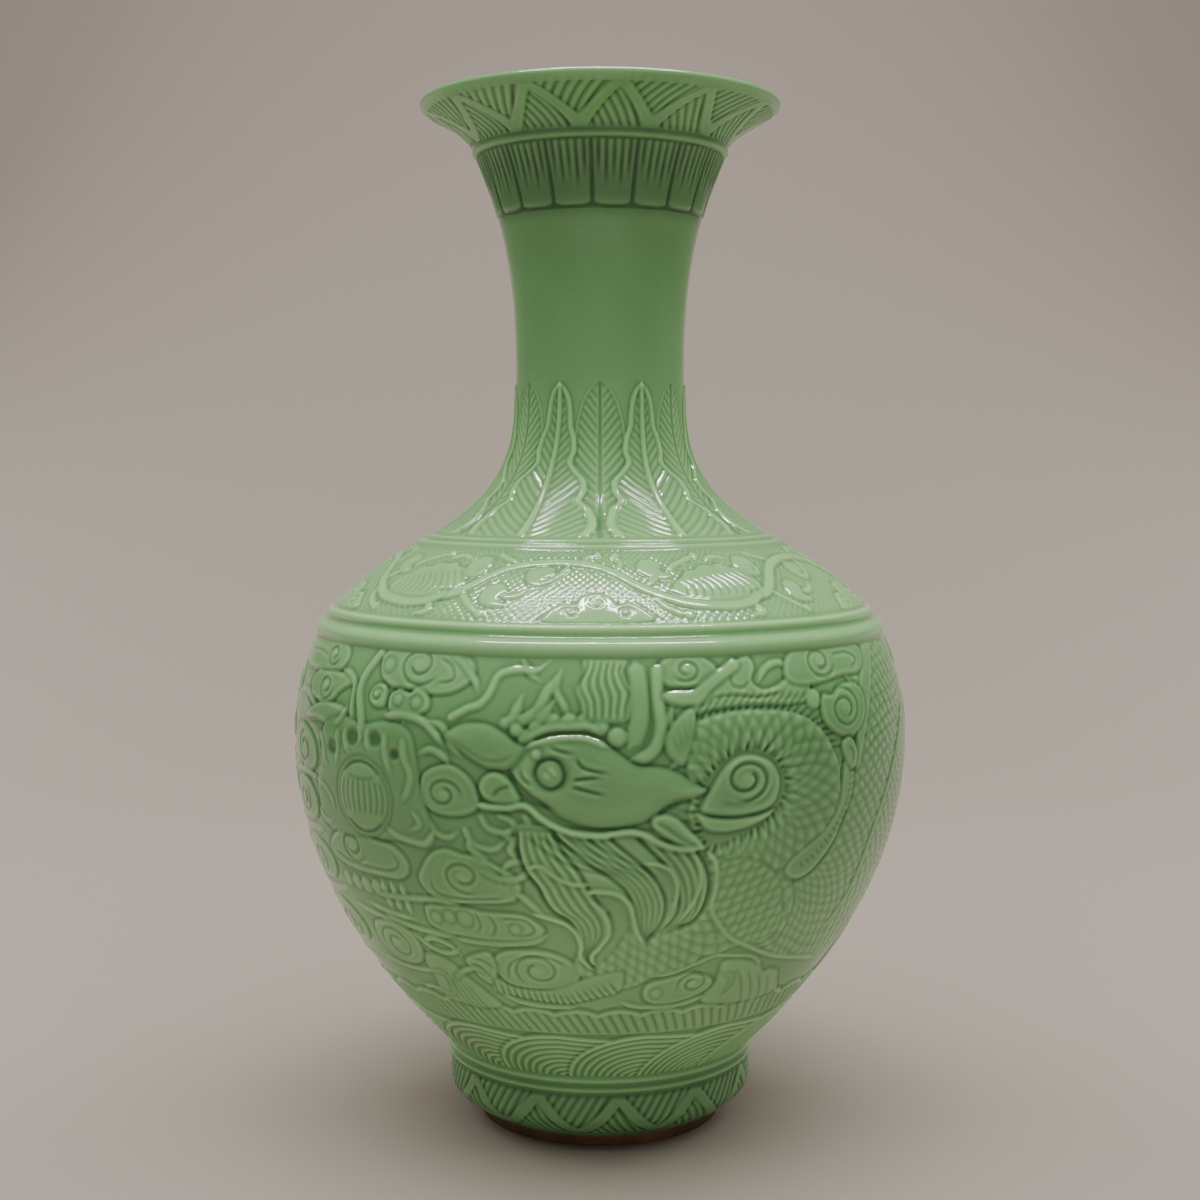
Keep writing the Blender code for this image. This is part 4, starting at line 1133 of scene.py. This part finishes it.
sheet.cord([(19.5, 147), (19.2, 140), (19.5, 134), (20, 128), (18.5, 122), (15, 118), (10, 117)], 4.2,
    top=0.7, ends=(0, 4))
sheet.cord([(12, 150), (13, 142), (13.2, 134), (12.2, 127), (9.5, 121)], 6.0, top=0.5, ends=(2, 3))
sheet.pad([(21, 139), (26, 140), (31, 140), (36, 143), (42, 147), (48, 150.5), (50, 147), (44, 143),
    (38, 139), (34, 135), (28, 134.5), (22, 136)], top=0.65, edge=1.6, rim=0.1)
sheet.pad([(22, 126), (25, 130), (30, 134), (32, 131), (31, 126), (29.5, 120), (27, 114.5), (23, 117),
    (21, 121)], top=0.5, edge=1.4)
sheet.comb([(23, 125), (25, 121), (26, 117)], [(30, 132), (29.5, 126), (28, 119)], 4, 1.1, 0.45)
sheet.ball(5.5, 124.5, 3.2, top=0.75)
for points in (
        [(-33, 128), (-29, 130), (-27.5, 134), (-26, 138.5)],
        [(-27, 129), (-21, 133), (-18, 139), (-15, 145)],
        [(-21, 129.5), (-18.5, 131.5), (-17, 134), (-15.2, 136.5)]):
    sheet.cord(points, 3.6, top=0.5, ends=(1, 6))
sheet.ball(-27.5, 126.5, 2.2, top=0.7)

# %% Head, jaw and fins
HEAD = [(-25, 121), (-20, 123.5), (-15, 125), (-8, 125.5), (-2, 124.5), (3, 121.5), (8, 117.5),
    (12, 115), (17, 114.5), (22, 113.5), (27, 111), (31, 108), (35, 105.5), (30, 103), (25, 102),
    (21, 100.5), (18, 97.5), (14, 95.5), (8, 94), (2, 93.5), (-3, 94), (-9, 95.5), (-14, 98),
    (-17, 100.5), (-22, 103), (-27, 107), (-29, 112), (-28, 117)]
sheet.pad(HEAD, top=0.55, edge=2.6, crown=0.5, moat=0.6)
SNOUT = [(-53, 123), (-50, 126), (-45, 128), (-38, 128), (-32, 125.5), (-28, 122.5), (-24, 120.5),
    (-26, 116), (-30, 113), (-36, 113), (-41, 115), (-46, 118), (-50, 121)]
sheet.pad(SNOUT, top=0.5, edge=2.0, crown=0.3, moat=0.5)
sheet.cut([(-50, 122.5), (-44, 119), (-38, 116), (-32, 116), (-29, 118)], 1.3, 0.4, (4, 2))
sheet.pad([(-38, 110.5), (-40, 107), (-39, 103.5), (-36, 101.5), (-31, 101), (-26, 102), (-27, 106),
    (-30, 110), (-34, 112)], top=0.6, edge=1.3, rim=0.2)
sheet.cut([(-29, 107.5), (-33, 106), (-35, 103.5)], 1.5, 0.7, (1, 1))
sheet.cut([(-29.5, 112), (-27, 109), (-23, 105), (-18, 101.5), (-14, 99)], 1.8, 0.8, (1, 5))
sheet.cord([(-24, 120.5), (-20, 122.3), (-15, 123.6), (-8, 124.2), (-3, 123.5), (3, 121)], 2.2,
    top=1.15, foot=0.7, moat=0.15)
for points in (
        [(-16, 121), (-13, 119.8), (-8, 118.8)],
        [(-7.5, 117.5), (-6, 114.8), (-2, 113.2), (3, 112.5)],
        [(-9, 110), (-4, 110.8), (1, 111)],
        [(-9, 108), (-4, 106.5), (2, 105)],
        [(-22, 108), (-25, 110.5), (-26, 114)]):
    sheet.cut(points, 1.7, 0.75, (1.5, 3.5), lip=0.3)
sheet.ball(-16, 112, 6.2, top=1.2, moat=0.25)
sheet.cut([(-11.4, 112), (-13, 115.8), (-16, 117), (-19.5, 115.5), (-20.8, 112), (-19, 108.5),
    (-16, 107), (-12.7, 108.5)], 1.7, 0.95, (0, 0), closed=True)
sheet.ball(-16, 112, 3.0, top=1.6, moat=0.1)
sheet.cut([(-17.8, 113.6), (-16, 112), (-14.6, 110.2)], 1.3, 0.7, (0.5, 0.5))
sheet.ball(-20.5, 118.5, 1.9, top=1.4, moat=0.5)
sheet.comb([(19, 98.5), (22, 99.5), (26, 100.5)], [(23, 102.5), (26, 102.8), (30, 103.5)], 3, 1.1,
    0.5, (1, 2))
sheet.pad([(17, 97), (21, 98), (25, 96.5), (29, 92.5), (33, 88.5), (35.5, 84.5), (30, 85.5), (26, 87),
    (21, 90), (17, 93.5)], top=0.75, edge=1.4, rim=0.2)
sheet.cut([(18, 95.5), (22, 93), (27, 89), (33, 86)], 1.4, 0.6, (2, 2))

# %% [markdown]
# The pearl beside the head is a ribbed ball in a ring of fire. Its ribs are meridians, so their
# offset from the middle shrinks with the cosine of the height on the ball. The flames rise from it
# as cords between deep round notches.


# %% The pearl
PEARL_X, PEARL_Y, PEARL_R = -89.0, 98.0, 14.5
sheet.pad([(-72, 84), (-62, 84), (-59, 92), (-62, 104), (-64, 116), (-68, 124), (-78, 126),
    (-90, 124), (-104, 126), (-114, 121), (-116, 108), (-120, 98), (-118, 86), (-108, 82)], top=0.25,
    edge=2.0)
sheet.ball(PEARL_X, PEARL_Y, PEARL_R, top=1.05, moat=0.6)
turns = np.linspace(0, 2 * np.pi, 40, endpoint=False)
circle = np.stack([PEARL_X + 13.0 * np.cos(turns), PEARL_Y + 13.0 * np.sin(turns)], 1)
sheet.cut_line(np.vstack([circle, circle[:1]]), 1.4, 0.55, (0, 0))
for lean in (-0.86, -0.62, -0.36, -0.1, 0.16, 0.42, 0.66, 0.88):
    rise = np.linspace(-0.56, 0.56, 12)
    sheet.cut([(PEARL_X + 12.0 * lean * np.sqrt(1 - s * s), PEARL_Y + 12.0 * s) for s in rise], 1.6,
        0.6, (2, 2))
sheet.cut([(-98, 106.5), (-94, 109.5), (-89, 110.5), (-84, 109.5), (-80, 106.5)], 1.3, 0.6, (1, 1))
sheet.cut([(-98, 89.5), (-94, 86.5), (-89, 85.5), (-84, 86.5), (-80, 89.5)], 1.3, 0.6, (1, 1))
sheet.cut([(-96, 105.5), (-89, 104.5), (-82, 105.5)], 1.1, 0.5, (1, 1))
for points, width in (
        ([(-86, 152), (-90, 146), (-92.5, 142), (-94, 137), (-93, 132), (-91, 127), (-90, 121),
            (-92, 116)], 3.8),
        ([(-70, 121), (-68.5, 114), (-66, 108.5), (-67, 103), (-70, 98)], 3.0),
        ([(-116, 118), (-113, 112.5), (-112, 108), (-108, 106)], 3.0),
        ([(-104, 121), (-103, 113), (-104, 107)], 3.0),
        ([(-78, 122), (-77, 114), (-74, 107)], 2.8),
        ([(-87, 123), (-86, 117), (-84, 114)], 2.6),
        ([(-99, 122), (-98, 116), (-95, 112)], 2.6),
        ([(-100, 129), (-103, 124), (-108, 122)], 2.6),
        ([(-119, 99), (-114, 99), (-109, 95), (-107, 89)], 2.6),
        ([(-121, 89), (-116, 85), (-109, 85.5)], 2.6),
        ([(-78, 88), (-73, 85.5), (-67, 84.5), (-61, 84.5), (-57, 90)], 2.8),
        ([(-66, 96), (-63, 91), (-68, 88)], 2.4)):
    sheet.cord(points, width, top=0.6, ends=(2, 4))
for x, y, size in ((-94.5, 119, 3.6), (-82.5, 119.5, 3.2), (-107, 114, 3.0), (-73, 115, 2.2)):
    sheet.ball(x, y, size, top=-0.6, moat=0.0)

# %% Whiskers over everything
sheet.cord([(-51, 129.5), (-45, 133), (-41, 134.5), (-38, 138), (-36.5, 142), (-35, 145),
    (-32, 146.5), (-27, 147.3), (-22, 147), (-19, 149), (-17, 151)], 2.8, top=0.6, ends=(0, 10))
sheet.cord([(-41, 100.2), (-36, 99.8), (-30, 99.8), (-26, 100.8), (-23, 100), (-19, 96.5),
    (-14, 93.5), (-8, 91.5), (0, 90.7), (5, 91.5), (10, 92), (15, 90.5), (20, 87.5), (26, 85.5),
    (34, 84.8)], 2.4, top=0.9, foot=0.35, ends=(2, 4), moat=0.5)
belly.finish(settle=0.42, fade=(0.6, 0.8), relief=0.85)
print("carving runs from", round(float(sheet.height.min()), 2), "to",
    round(float(sheet.height.max()), 2), "mm")

# %% [markdown]
# Now the bands become pieces. Every piece has fewer than two hundred thousand triangles, so the
# belly is six rings and the taller bands are two each. A section of the solid model is shown by
# the rings that lie on it, and the thin slip at each joint is hidden under the glaze of the ring
# that crosses it.

# %% Rings of the outer wall
INNER_RIM = R_FOOT_RIM - FOOT_RIM_WIDTH
inside_foot = [(R_INSIDE_FOOT, 26.0), (R_INSIDE_FOOT, FLOOR_TOP), (R_INSIDE_FOOT, FLOOR_UNDERSIDE),
               (R_RECESS, RECESS_STEP), (INNER_RIM, FOOT_EDGE + 0.5), (INNER_RIM, FOOT_EDGE)]
foot_tail = np.concatenate([inner_wall(foot.run[-1], foot.run[-1] - 3, 2), inside_foot])
add_piece(ring_piece("foot_band", foot, 0, foot.rows - 1, foot_tail), "glaze", "foot_wall", "slip_foot")
add_band("wave_band", waves, 1, [["belly_bowl"]])
add_band("dragon_belly", belly, 6, [["belly_bowl", "slip_bowl"], ["lower_belly"], ["lower_belly"],
                                    ["lower_belly", "slip_belly"], ["upper_belly"], ["upper_belly"]])
add_band("shoulder_rings", rings, 1, [["upper_belly", "slip_shoulder"]])
add_band("vine_shoulder", vine, 2, [["shoulder"], ["shoulder", "slip_neck_root"]])
add_band("leaf_neck", leaves, 2, [["neck_root"], ["neck_root", "slip_neck_tube"]])
add_band("plain_neck", neck, 1, [["neck_tube", "slip_mouth"]], inner_rows=8)
add_band("petal_band", petals, 1, [["mouth"]])

# %% The mouth with its lip
turn = np.radians(np.linspace(-35.0, 165.0, 9))
lip = np.stack([R_LIP - 0.4 + LIP_ROUND * np.cos(turn), TOP - LIP_ROUND + LIP_ROUND * np.sin(turn)], 1)
lip_tail = np.concatenate([lip, inner_wall(run_at(LIP) - 2.0, mouth.run[0], 9)])
add_piece(ring_piece("mouth_flare", mouth, 0, mouth.rows - 1, lip_tail), "glaze", "mouth")


# %% Turned pieces: the bare foot ring and the floor
GLAZE_ON_TURNED = 0.4


def turned_piece(name, profile, count):
    """A profile of radius and height spun round the axis, both ends on the axis or closed in a loop.

    A profile that starts on the axis closes each end with a fan of triangles to one point.
    """
    profile = np.asarray(profile, float)
    angle = np.arange(count) * 2 * np.pi / count
    poles = profile[0, 0] == 0
    body = profile[1:-1] if poles else profile
    grid = spun(body, angle)
    rows = len(body)
    c, c2 = np.arange(count), (np.arange(count) + 1) % count
    r = np.arange(rows - 1 if poles else rows)[:, None]
    r2 = (r + 1) % rows
    quads = np.stack([r * count + c, r * count + c2, r2 * count + c2, r2 * count + c], -1).reshape(-1, 4)
    place = grid.reshape(-1, 3)
    faces = [tuple(q) for q in quads.tolist()]
    if poles:
        low, high = len(place), len(place) + 1
        place = np.vstack([place, [0, 0, profile[0, 1]], [0, 0, profile[-1, 1]]])
        faces += list(zip(c2.tolist(), c.tolist(), [low] * count))
        last = (rows - 1) * count
        faces += list(zip((last + c).tolist(), (last + c2).tolist(), [high] * count))
    mesh = bpy.data.meshes.new(name)
    mesh.from_pydata((place * MM).tolist(), [], faces)
    mesh.shade_smooth()
    mesh.set_sharp_from_angle(angle=np.radians(35))
    depth = mesh.attributes.new("glaze_depth", "FLOAT", "POINT")
    depth.data.foreach_set("value", np.full(len(place), GLAZE_ON_TURNED, np.float32))
    piece = bpy.data.objects.new(name, mesh)
    bpy.context.scene.collection.objects.link(piece)
    return piece


foot_ring = turned_piece("bare_foot_ring", [(INNER_RIM + 0.6, 0.0), (R_FOOT_RIM - 0.9, 0.0),
    (R_FOOT_RIM - 0.25, 0.25), (R_FOOT_RIM, 0.9), (R_FOOT_EDGE - 0.35, FOOT_EDGE - 0.5),
    (R_FOOT_EDGE - 0.6, FOOT_EDGE), (INNER_RIM + 0.2, FOOT_EDGE), (INNER_RIM, FOOT_EDGE - 0.4),
    (INNER_RIM, 0.7), (INNER_RIM + 0.2, 0.2)], 240)
add_piece(foot_ring, "bare_foot", "foot_rim")
floor_piece = turned_piece("inner_floor", [(0.0, FLOOR_UNDERSIDE - 0.6),
    (20.0, FLOOR_UNDERSIDE - 0.5), (38.0, FLOOR_UNDERSIDE - 0.2), (44.0, FLOOR_UNDERSIDE),
    (44.0, FLOOR_TOP + 0.8), (40.0, FLOOR_TOP + 0.3), (20.0, FLOOR_TOP), (0.0, FLOOR_TOP)], 180)
add_piece(floor_piece, "glaze", "base_floor", "slip_floor")

# %% [markdown]
# The finishes. Celadon is a clear glaze tinted green by a little iron. A thin layer over the white
# body is a pale leaf green, a thick one a deep bottle green, so the colour is a ramp read from the
# glaze's depth, which also carries painted light and shade by height. Long soft clouds of slightly
# different green come from the kiln, and very fine pinholes and ripples break up the shine. The foot
# ring has no glaze, and its iron fired to brown.
#
# Shader maths is easier to read as arithmetic. The small class below wraps a socket, so that adding
# or multiplying two of them adds the Math node that does it.


# %% Arithmetic on sockets
class Flow:
    """A number that runs through a material's nodes."""

    def __init__(self, paint, socket):
        self.paint, self.socket = paint, socket

    def maths(self, operation, *values):
        return self.paint.node("ShaderNodeMath", {"operation": operation}, dict(enumerate(values)))

    def __add__(self, other):
        return self.maths("ADD", self, other)

    def __sub__(self, other):
        return self.maths("SUBTRACT", self, other)

    def __rsub__(self, other):
        return self.maths("SUBTRACT", other, self)

    def __mul__(self, other):
        return self.maths("MULTIPLY", self, other)

    __radd__, __rmul__ = __add__, __mul__


class Paint:
    """A material under construction: one method makes any node."""

    def __init__(self, name):
        self.material = bpy.data.materials.new(name)
        self.material.use_nodes = True
        self.tree = self.material.node_tree
        self.shader = self.tree.nodes["Principled BSDF"]

    def node(self, kind, settings, inputs, output=0):
        """Makes a node, sets its settings, then fills its sockets with values or links."""
        made = self.tree.nodes.new(kind)
        for key, value in settings.items():
            if key == "stops":
                ramp = made.color_ramp
                while len(ramp.elements) < len(value):
                    ramp.elements.new(0.5)
                for stop, (position, colour) in zip(ramp.elements, value):
                    stop.position, stop.color = position, (*colour, 1.0)
            else:
                setattr(made, key, value)
        for key, value in inputs.items():
            self.fill(made.inputs[key], value)
        return Flow(self, made.outputs[output])

    def fill(self, socket, value):
        if isinstance(value, Flow):
            self.tree.links.new(value.socket, socket)
        else:
            socket.default_value = value

    def surface(self, **sockets):
        for name, value in sockets.items():
            self.fill(self.shader.inputs[name.replace("_", " ")], value)
        return self.material


def linear(red, green, blue):
    """A colour as read off a colour chart, 0 to 255, turned to light: the sRGB curve."""
    c = np.array([red, green, blue]) / 255.0
    return tuple(np.where(c <= 0.04045, c / 12.92, ((c + 0.055) / 1.055) ** 2.4).tolist())


# %% Celadon glaze
def celadon(name, thin, usual, deep, shine=0.11):
    """Glaze whose colour follows its depth, with kiln clouds, fine specks and a rippled skin."""
    paint = Paint(name)
    place = paint.node("ShaderNodeTexCoord", {}, {}, "Object")
    # The depth read here also carries painted light on the shoulder and bowl and painted shade on the belly's
    # middle and the petals.
    depth = paint.node("ShaderNodeAttribute", {"attribute_name": "glaze_depth"}, {}, "Fac")
    drift = paint.node("ShaderNodeTexNoise", {}, {"Vector": place, "Scale": 26.0, "Detail": 3.0,
        "Roughness": 0.5})
    grain = paint.node("ShaderNodeTexNoise", {}, {"Vector": place, "Scale": 420.0, "Detail": 2.0,
        "Roughness": 0.6})
    level = depth + (drift - 0.5) * 0.16 + (grain - 0.5) * 0.05
    tint = paint.node("ShaderNodeValToRGB", {"stops": [(0.10, thin), (0.50, usual), (0.95, deep)]},
                      {"Fac": level})
    clouds = paint.node("ShaderNodeTexNoise", {}, {"Vector": place, "Scale": 9.0, "Detail": 2.0,
        "Roughness": 0.45})
    warm = paint.node("ShaderNodeMix", {"data_type": "RGBA", "blend_type": "MULTIPLY"},
        {0: 1.0, 6: tint, 7: paint.node("ShaderNodeValToRGB", {"stops": [(0.3, (0.93, 0.97, 0.92)),
        (0.7, (1.0, 1.0, 1.0))]}, {"Fac": clouds})}, 2)
    specks = paint.node("ShaderNodeTexVoronoi", {}, {"Vector": place, "Scale": 260.0}, "Distance")
    speck = paint.node("ShaderNodeMapRange", {}, {"Value": specks, "From Min": 0.05, "From Max": 0.11,
        "To Min": 1.0, "To Max": 0.0})
    colour = paint.node("ShaderNodeMix", {"data_type": "RGBA", "blend_type": "MIX"},
                        {0: speck * 0.22, 6: warm, 7: (*deep, 1.0)}, 2)
    ripple = paint.node("ShaderNodeTexNoise", {}, {"Vector": place, "Scale": 130.0, "Detail": 2.0,
        "Roughness": 0.5})
    bump = paint.node("ShaderNodeBump", {}, {"Strength": 0.06, "Distance": 0.0006,
        "Height": ripple + speck * -0.3})
    rough = shine + (grain - 0.5) * 0.05 + speck * 0.12
    return paint.surface(Base_Color=colour, Roughness=rough, Normal=bump, IOR=1.5)


THIN, USUAL, DEEP = linear(163, 214, 143), linear(112, 158, 103), linear(44, 82, 44)
glaze = celadon("carved_celadon", THIN, USUAL, DEEP)
floor_glaze = celadon("plain_celadon", THIN, linear(120, 150, 108), DEEP, shine=0.16)


# %% The bare foot
def fired_clay(name, pale, dark):
    """Unglazed iron-brown clay: broad mottling, sandy grain, dry and rough."""
    paint = Paint(name)
    place = paint.node("ShaderNodeTexCoord", {}, {}, "Object")
    mottle = paint.node("ShaderNodeTexNoise", {}, {"Vector": place, "Scale": 60.0, "Detail": 4.0,
        "Roughness": 0.6})
    sand = paint.node("ShaderNodeTexNoise", {}, {"Vector": place, "Scale": 900.0, "Detail": 3.0,
        "Roughness": 0.7})
    level = mottle * 0.7 + sand * 0.3
    tint = paint.node("ShaderNodeValToRGB", {"stops": [(0.3, dark), (0.7, pale)]}, {"Fac": level})
    bump = paint.node("ShaderNodeBump", {}, {"Strength": 0.5, "Distance": 0.0005, "Height": level})
    return paint.surface(Base_Color=tint, Roughness=0.62 + (sand - 0.5) * 0.3, Normal=bump)


bare_clay = fired_clay("fired_brown_clay", linear(104, 76, 54), linear(48, 33, 21))
slip_clay = fired_clay("dried_slip", linear(196, 190, 176), linear(150, 142, 126))
for piece in PIECES:
    piece.data.materials.clear()
    piece.data.materials.append(glaze)
foot_ring.data.materials[0] = bare_clay
floor_piece.data.materials[0] = floor_glaze
for name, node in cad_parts.items():
    node.data.materials.clear()
    node.data.materials.append(
        slip_clay if name.startswith("slip") else bare_clay if name == "foot_rim" else floor_glaze)
print(len(bpy.data.materials), "materials on", len(PIECES), "pieces")

# %% [markdown]
# The stage: a pale floor that sweeps up into the backdrop, a camera a little above the vase's
# middle, and studio lights. A glossy pot shows its lights, so they are split. A long narrow lamp
# overhead only shows in the glaze, where it draws the bright broken line on the shoulder. The
# others only light the pot: a large soft one above, two behind it at the sides for pale edges,
# and a weak low one in front.


# %% Floor and backdrop
def sweep():
    """A floor that turns up into a wall: a straight run, a quarter circle and a straight rise."""
    turn = np.linspace(0.0, np.pi / 2, 24)
    bend, back = 0.9, 1.6
    y = np.concatenate([[-3.0, 0.4], back - bend + bend * np.sin(turn), [back]])
    z = np.concatenate([[0.0, 0.0], bend - bend * np.cos(turn), [4.0]])
    x = np.linspace(-4.0, 4.0, 2)
    grid = np.stack(np.broadcast_arrays(x[None, :], y[:, None], z[:, None]), -1).reshape(-1, 3)
    r = np.arange(len(y) - 1)[:, None]
    quads = np.stack([2 * r, 2 * r + 1, 2 * r + 3, 2 * r + 2], -1).reshape(-1, 4)
    mesh = bpy.data.meshes.new("studio_sweep")
    mesh.from_pydata(grid.tolist(), [], quads.tolist())
    mesh.shade_smooth()
    piece = bpy.data.objects.new("studio_sweep", mesh)
    bpy.context.scene.collection.objects.link(piece)
    return piece


stage = sweep()
card = Paint("pale_card")
stage.data.materials.append(card.surface(Base_Color=(*linear(156, 145, 134), 1.0), Roughness=0.7))

# %% Camera
CAMERA_BACK, CAMERA_HEIGHT, CAMERA_DOWN, LENS = 0.72, 0.2623, 4.447, 54.0
camera = bpy.data.objects.new("camera", bpy.data.cameras.new("camera"))
camera.location = (0.0, -CAMERA_BACK, CAMERA_HEIGHT)
camera.rotation_euler = (np.radians(90.0 - CAMERA_DOWN), 0.0, 0.0)
camera.data.lens = LENS
camera.data.sensor_width = 36.0
bpy.context.scene.collection.objects.link(camera)
bpy.context.scene.camera = camera


# %% Lights
MIDDLE = (0.0, 0.0, 0.2)


def panel(name, place, size, power, mirrored):
    """A rectangular lamp turned to the middle of the vase.

    A mirrored lamp only shows in the glaze, and the others only light it.
    """
    lamp = bpy.data.lights.new(name, "AREA")
    lamp.shape, lamp.size, lamp.size_y = "RECTANGLE", size[0], size[1]
    lamp.energy = power
    thing = bpy.data.objects.new(name, lamp)
    thing.location = place
    thing.rotation_euler = (Vector(MIDDLE) - Vector(place)).to_track_quat("-Z", "Y").to_euler()
    thing.visible_glossy, thing.visible_diffuse = mirrored, not mirrored
    bpy.context.scene.collection.objects.link(thing)
    return thing


panel("overhead_strip", (0.0, -0.02, 1.5), (1.3, 0.05), 44.0, True)
panel("overhead_soft", (0.0, -0.30, 1.8), (2.2, 1.6), 56.0, False)
panel("left_rim", (-1.2, 0.8, 0.7), (0.8, 1.4), 14.0, False)
panel("right_rim", (1.2, 0.8, 0.7), (0.8, 1.4), 14.0, False)
panel("low_front", (0.0, -1.3, 0.15), (1.6, 0.3), 4.0, False)
world = bpy.data.worlds.new("studio")
bpy.context.scene.world = world
world.use_nodes = True
world.node_tree.nodes["Background"].inputs["Color"].default_value = (*linear(200, 194, 188), 1.0)
world.node_tree.nodes["Background"].inputs["Strength"].default_value = 0.25

# %% Sizes, and the end
total = sum(len(piece.data.polygons) for piece in PIECES) * 2
print("about", total, "triangles in", len(PIECES), "pieces")
bpy.context.view_layer.update()
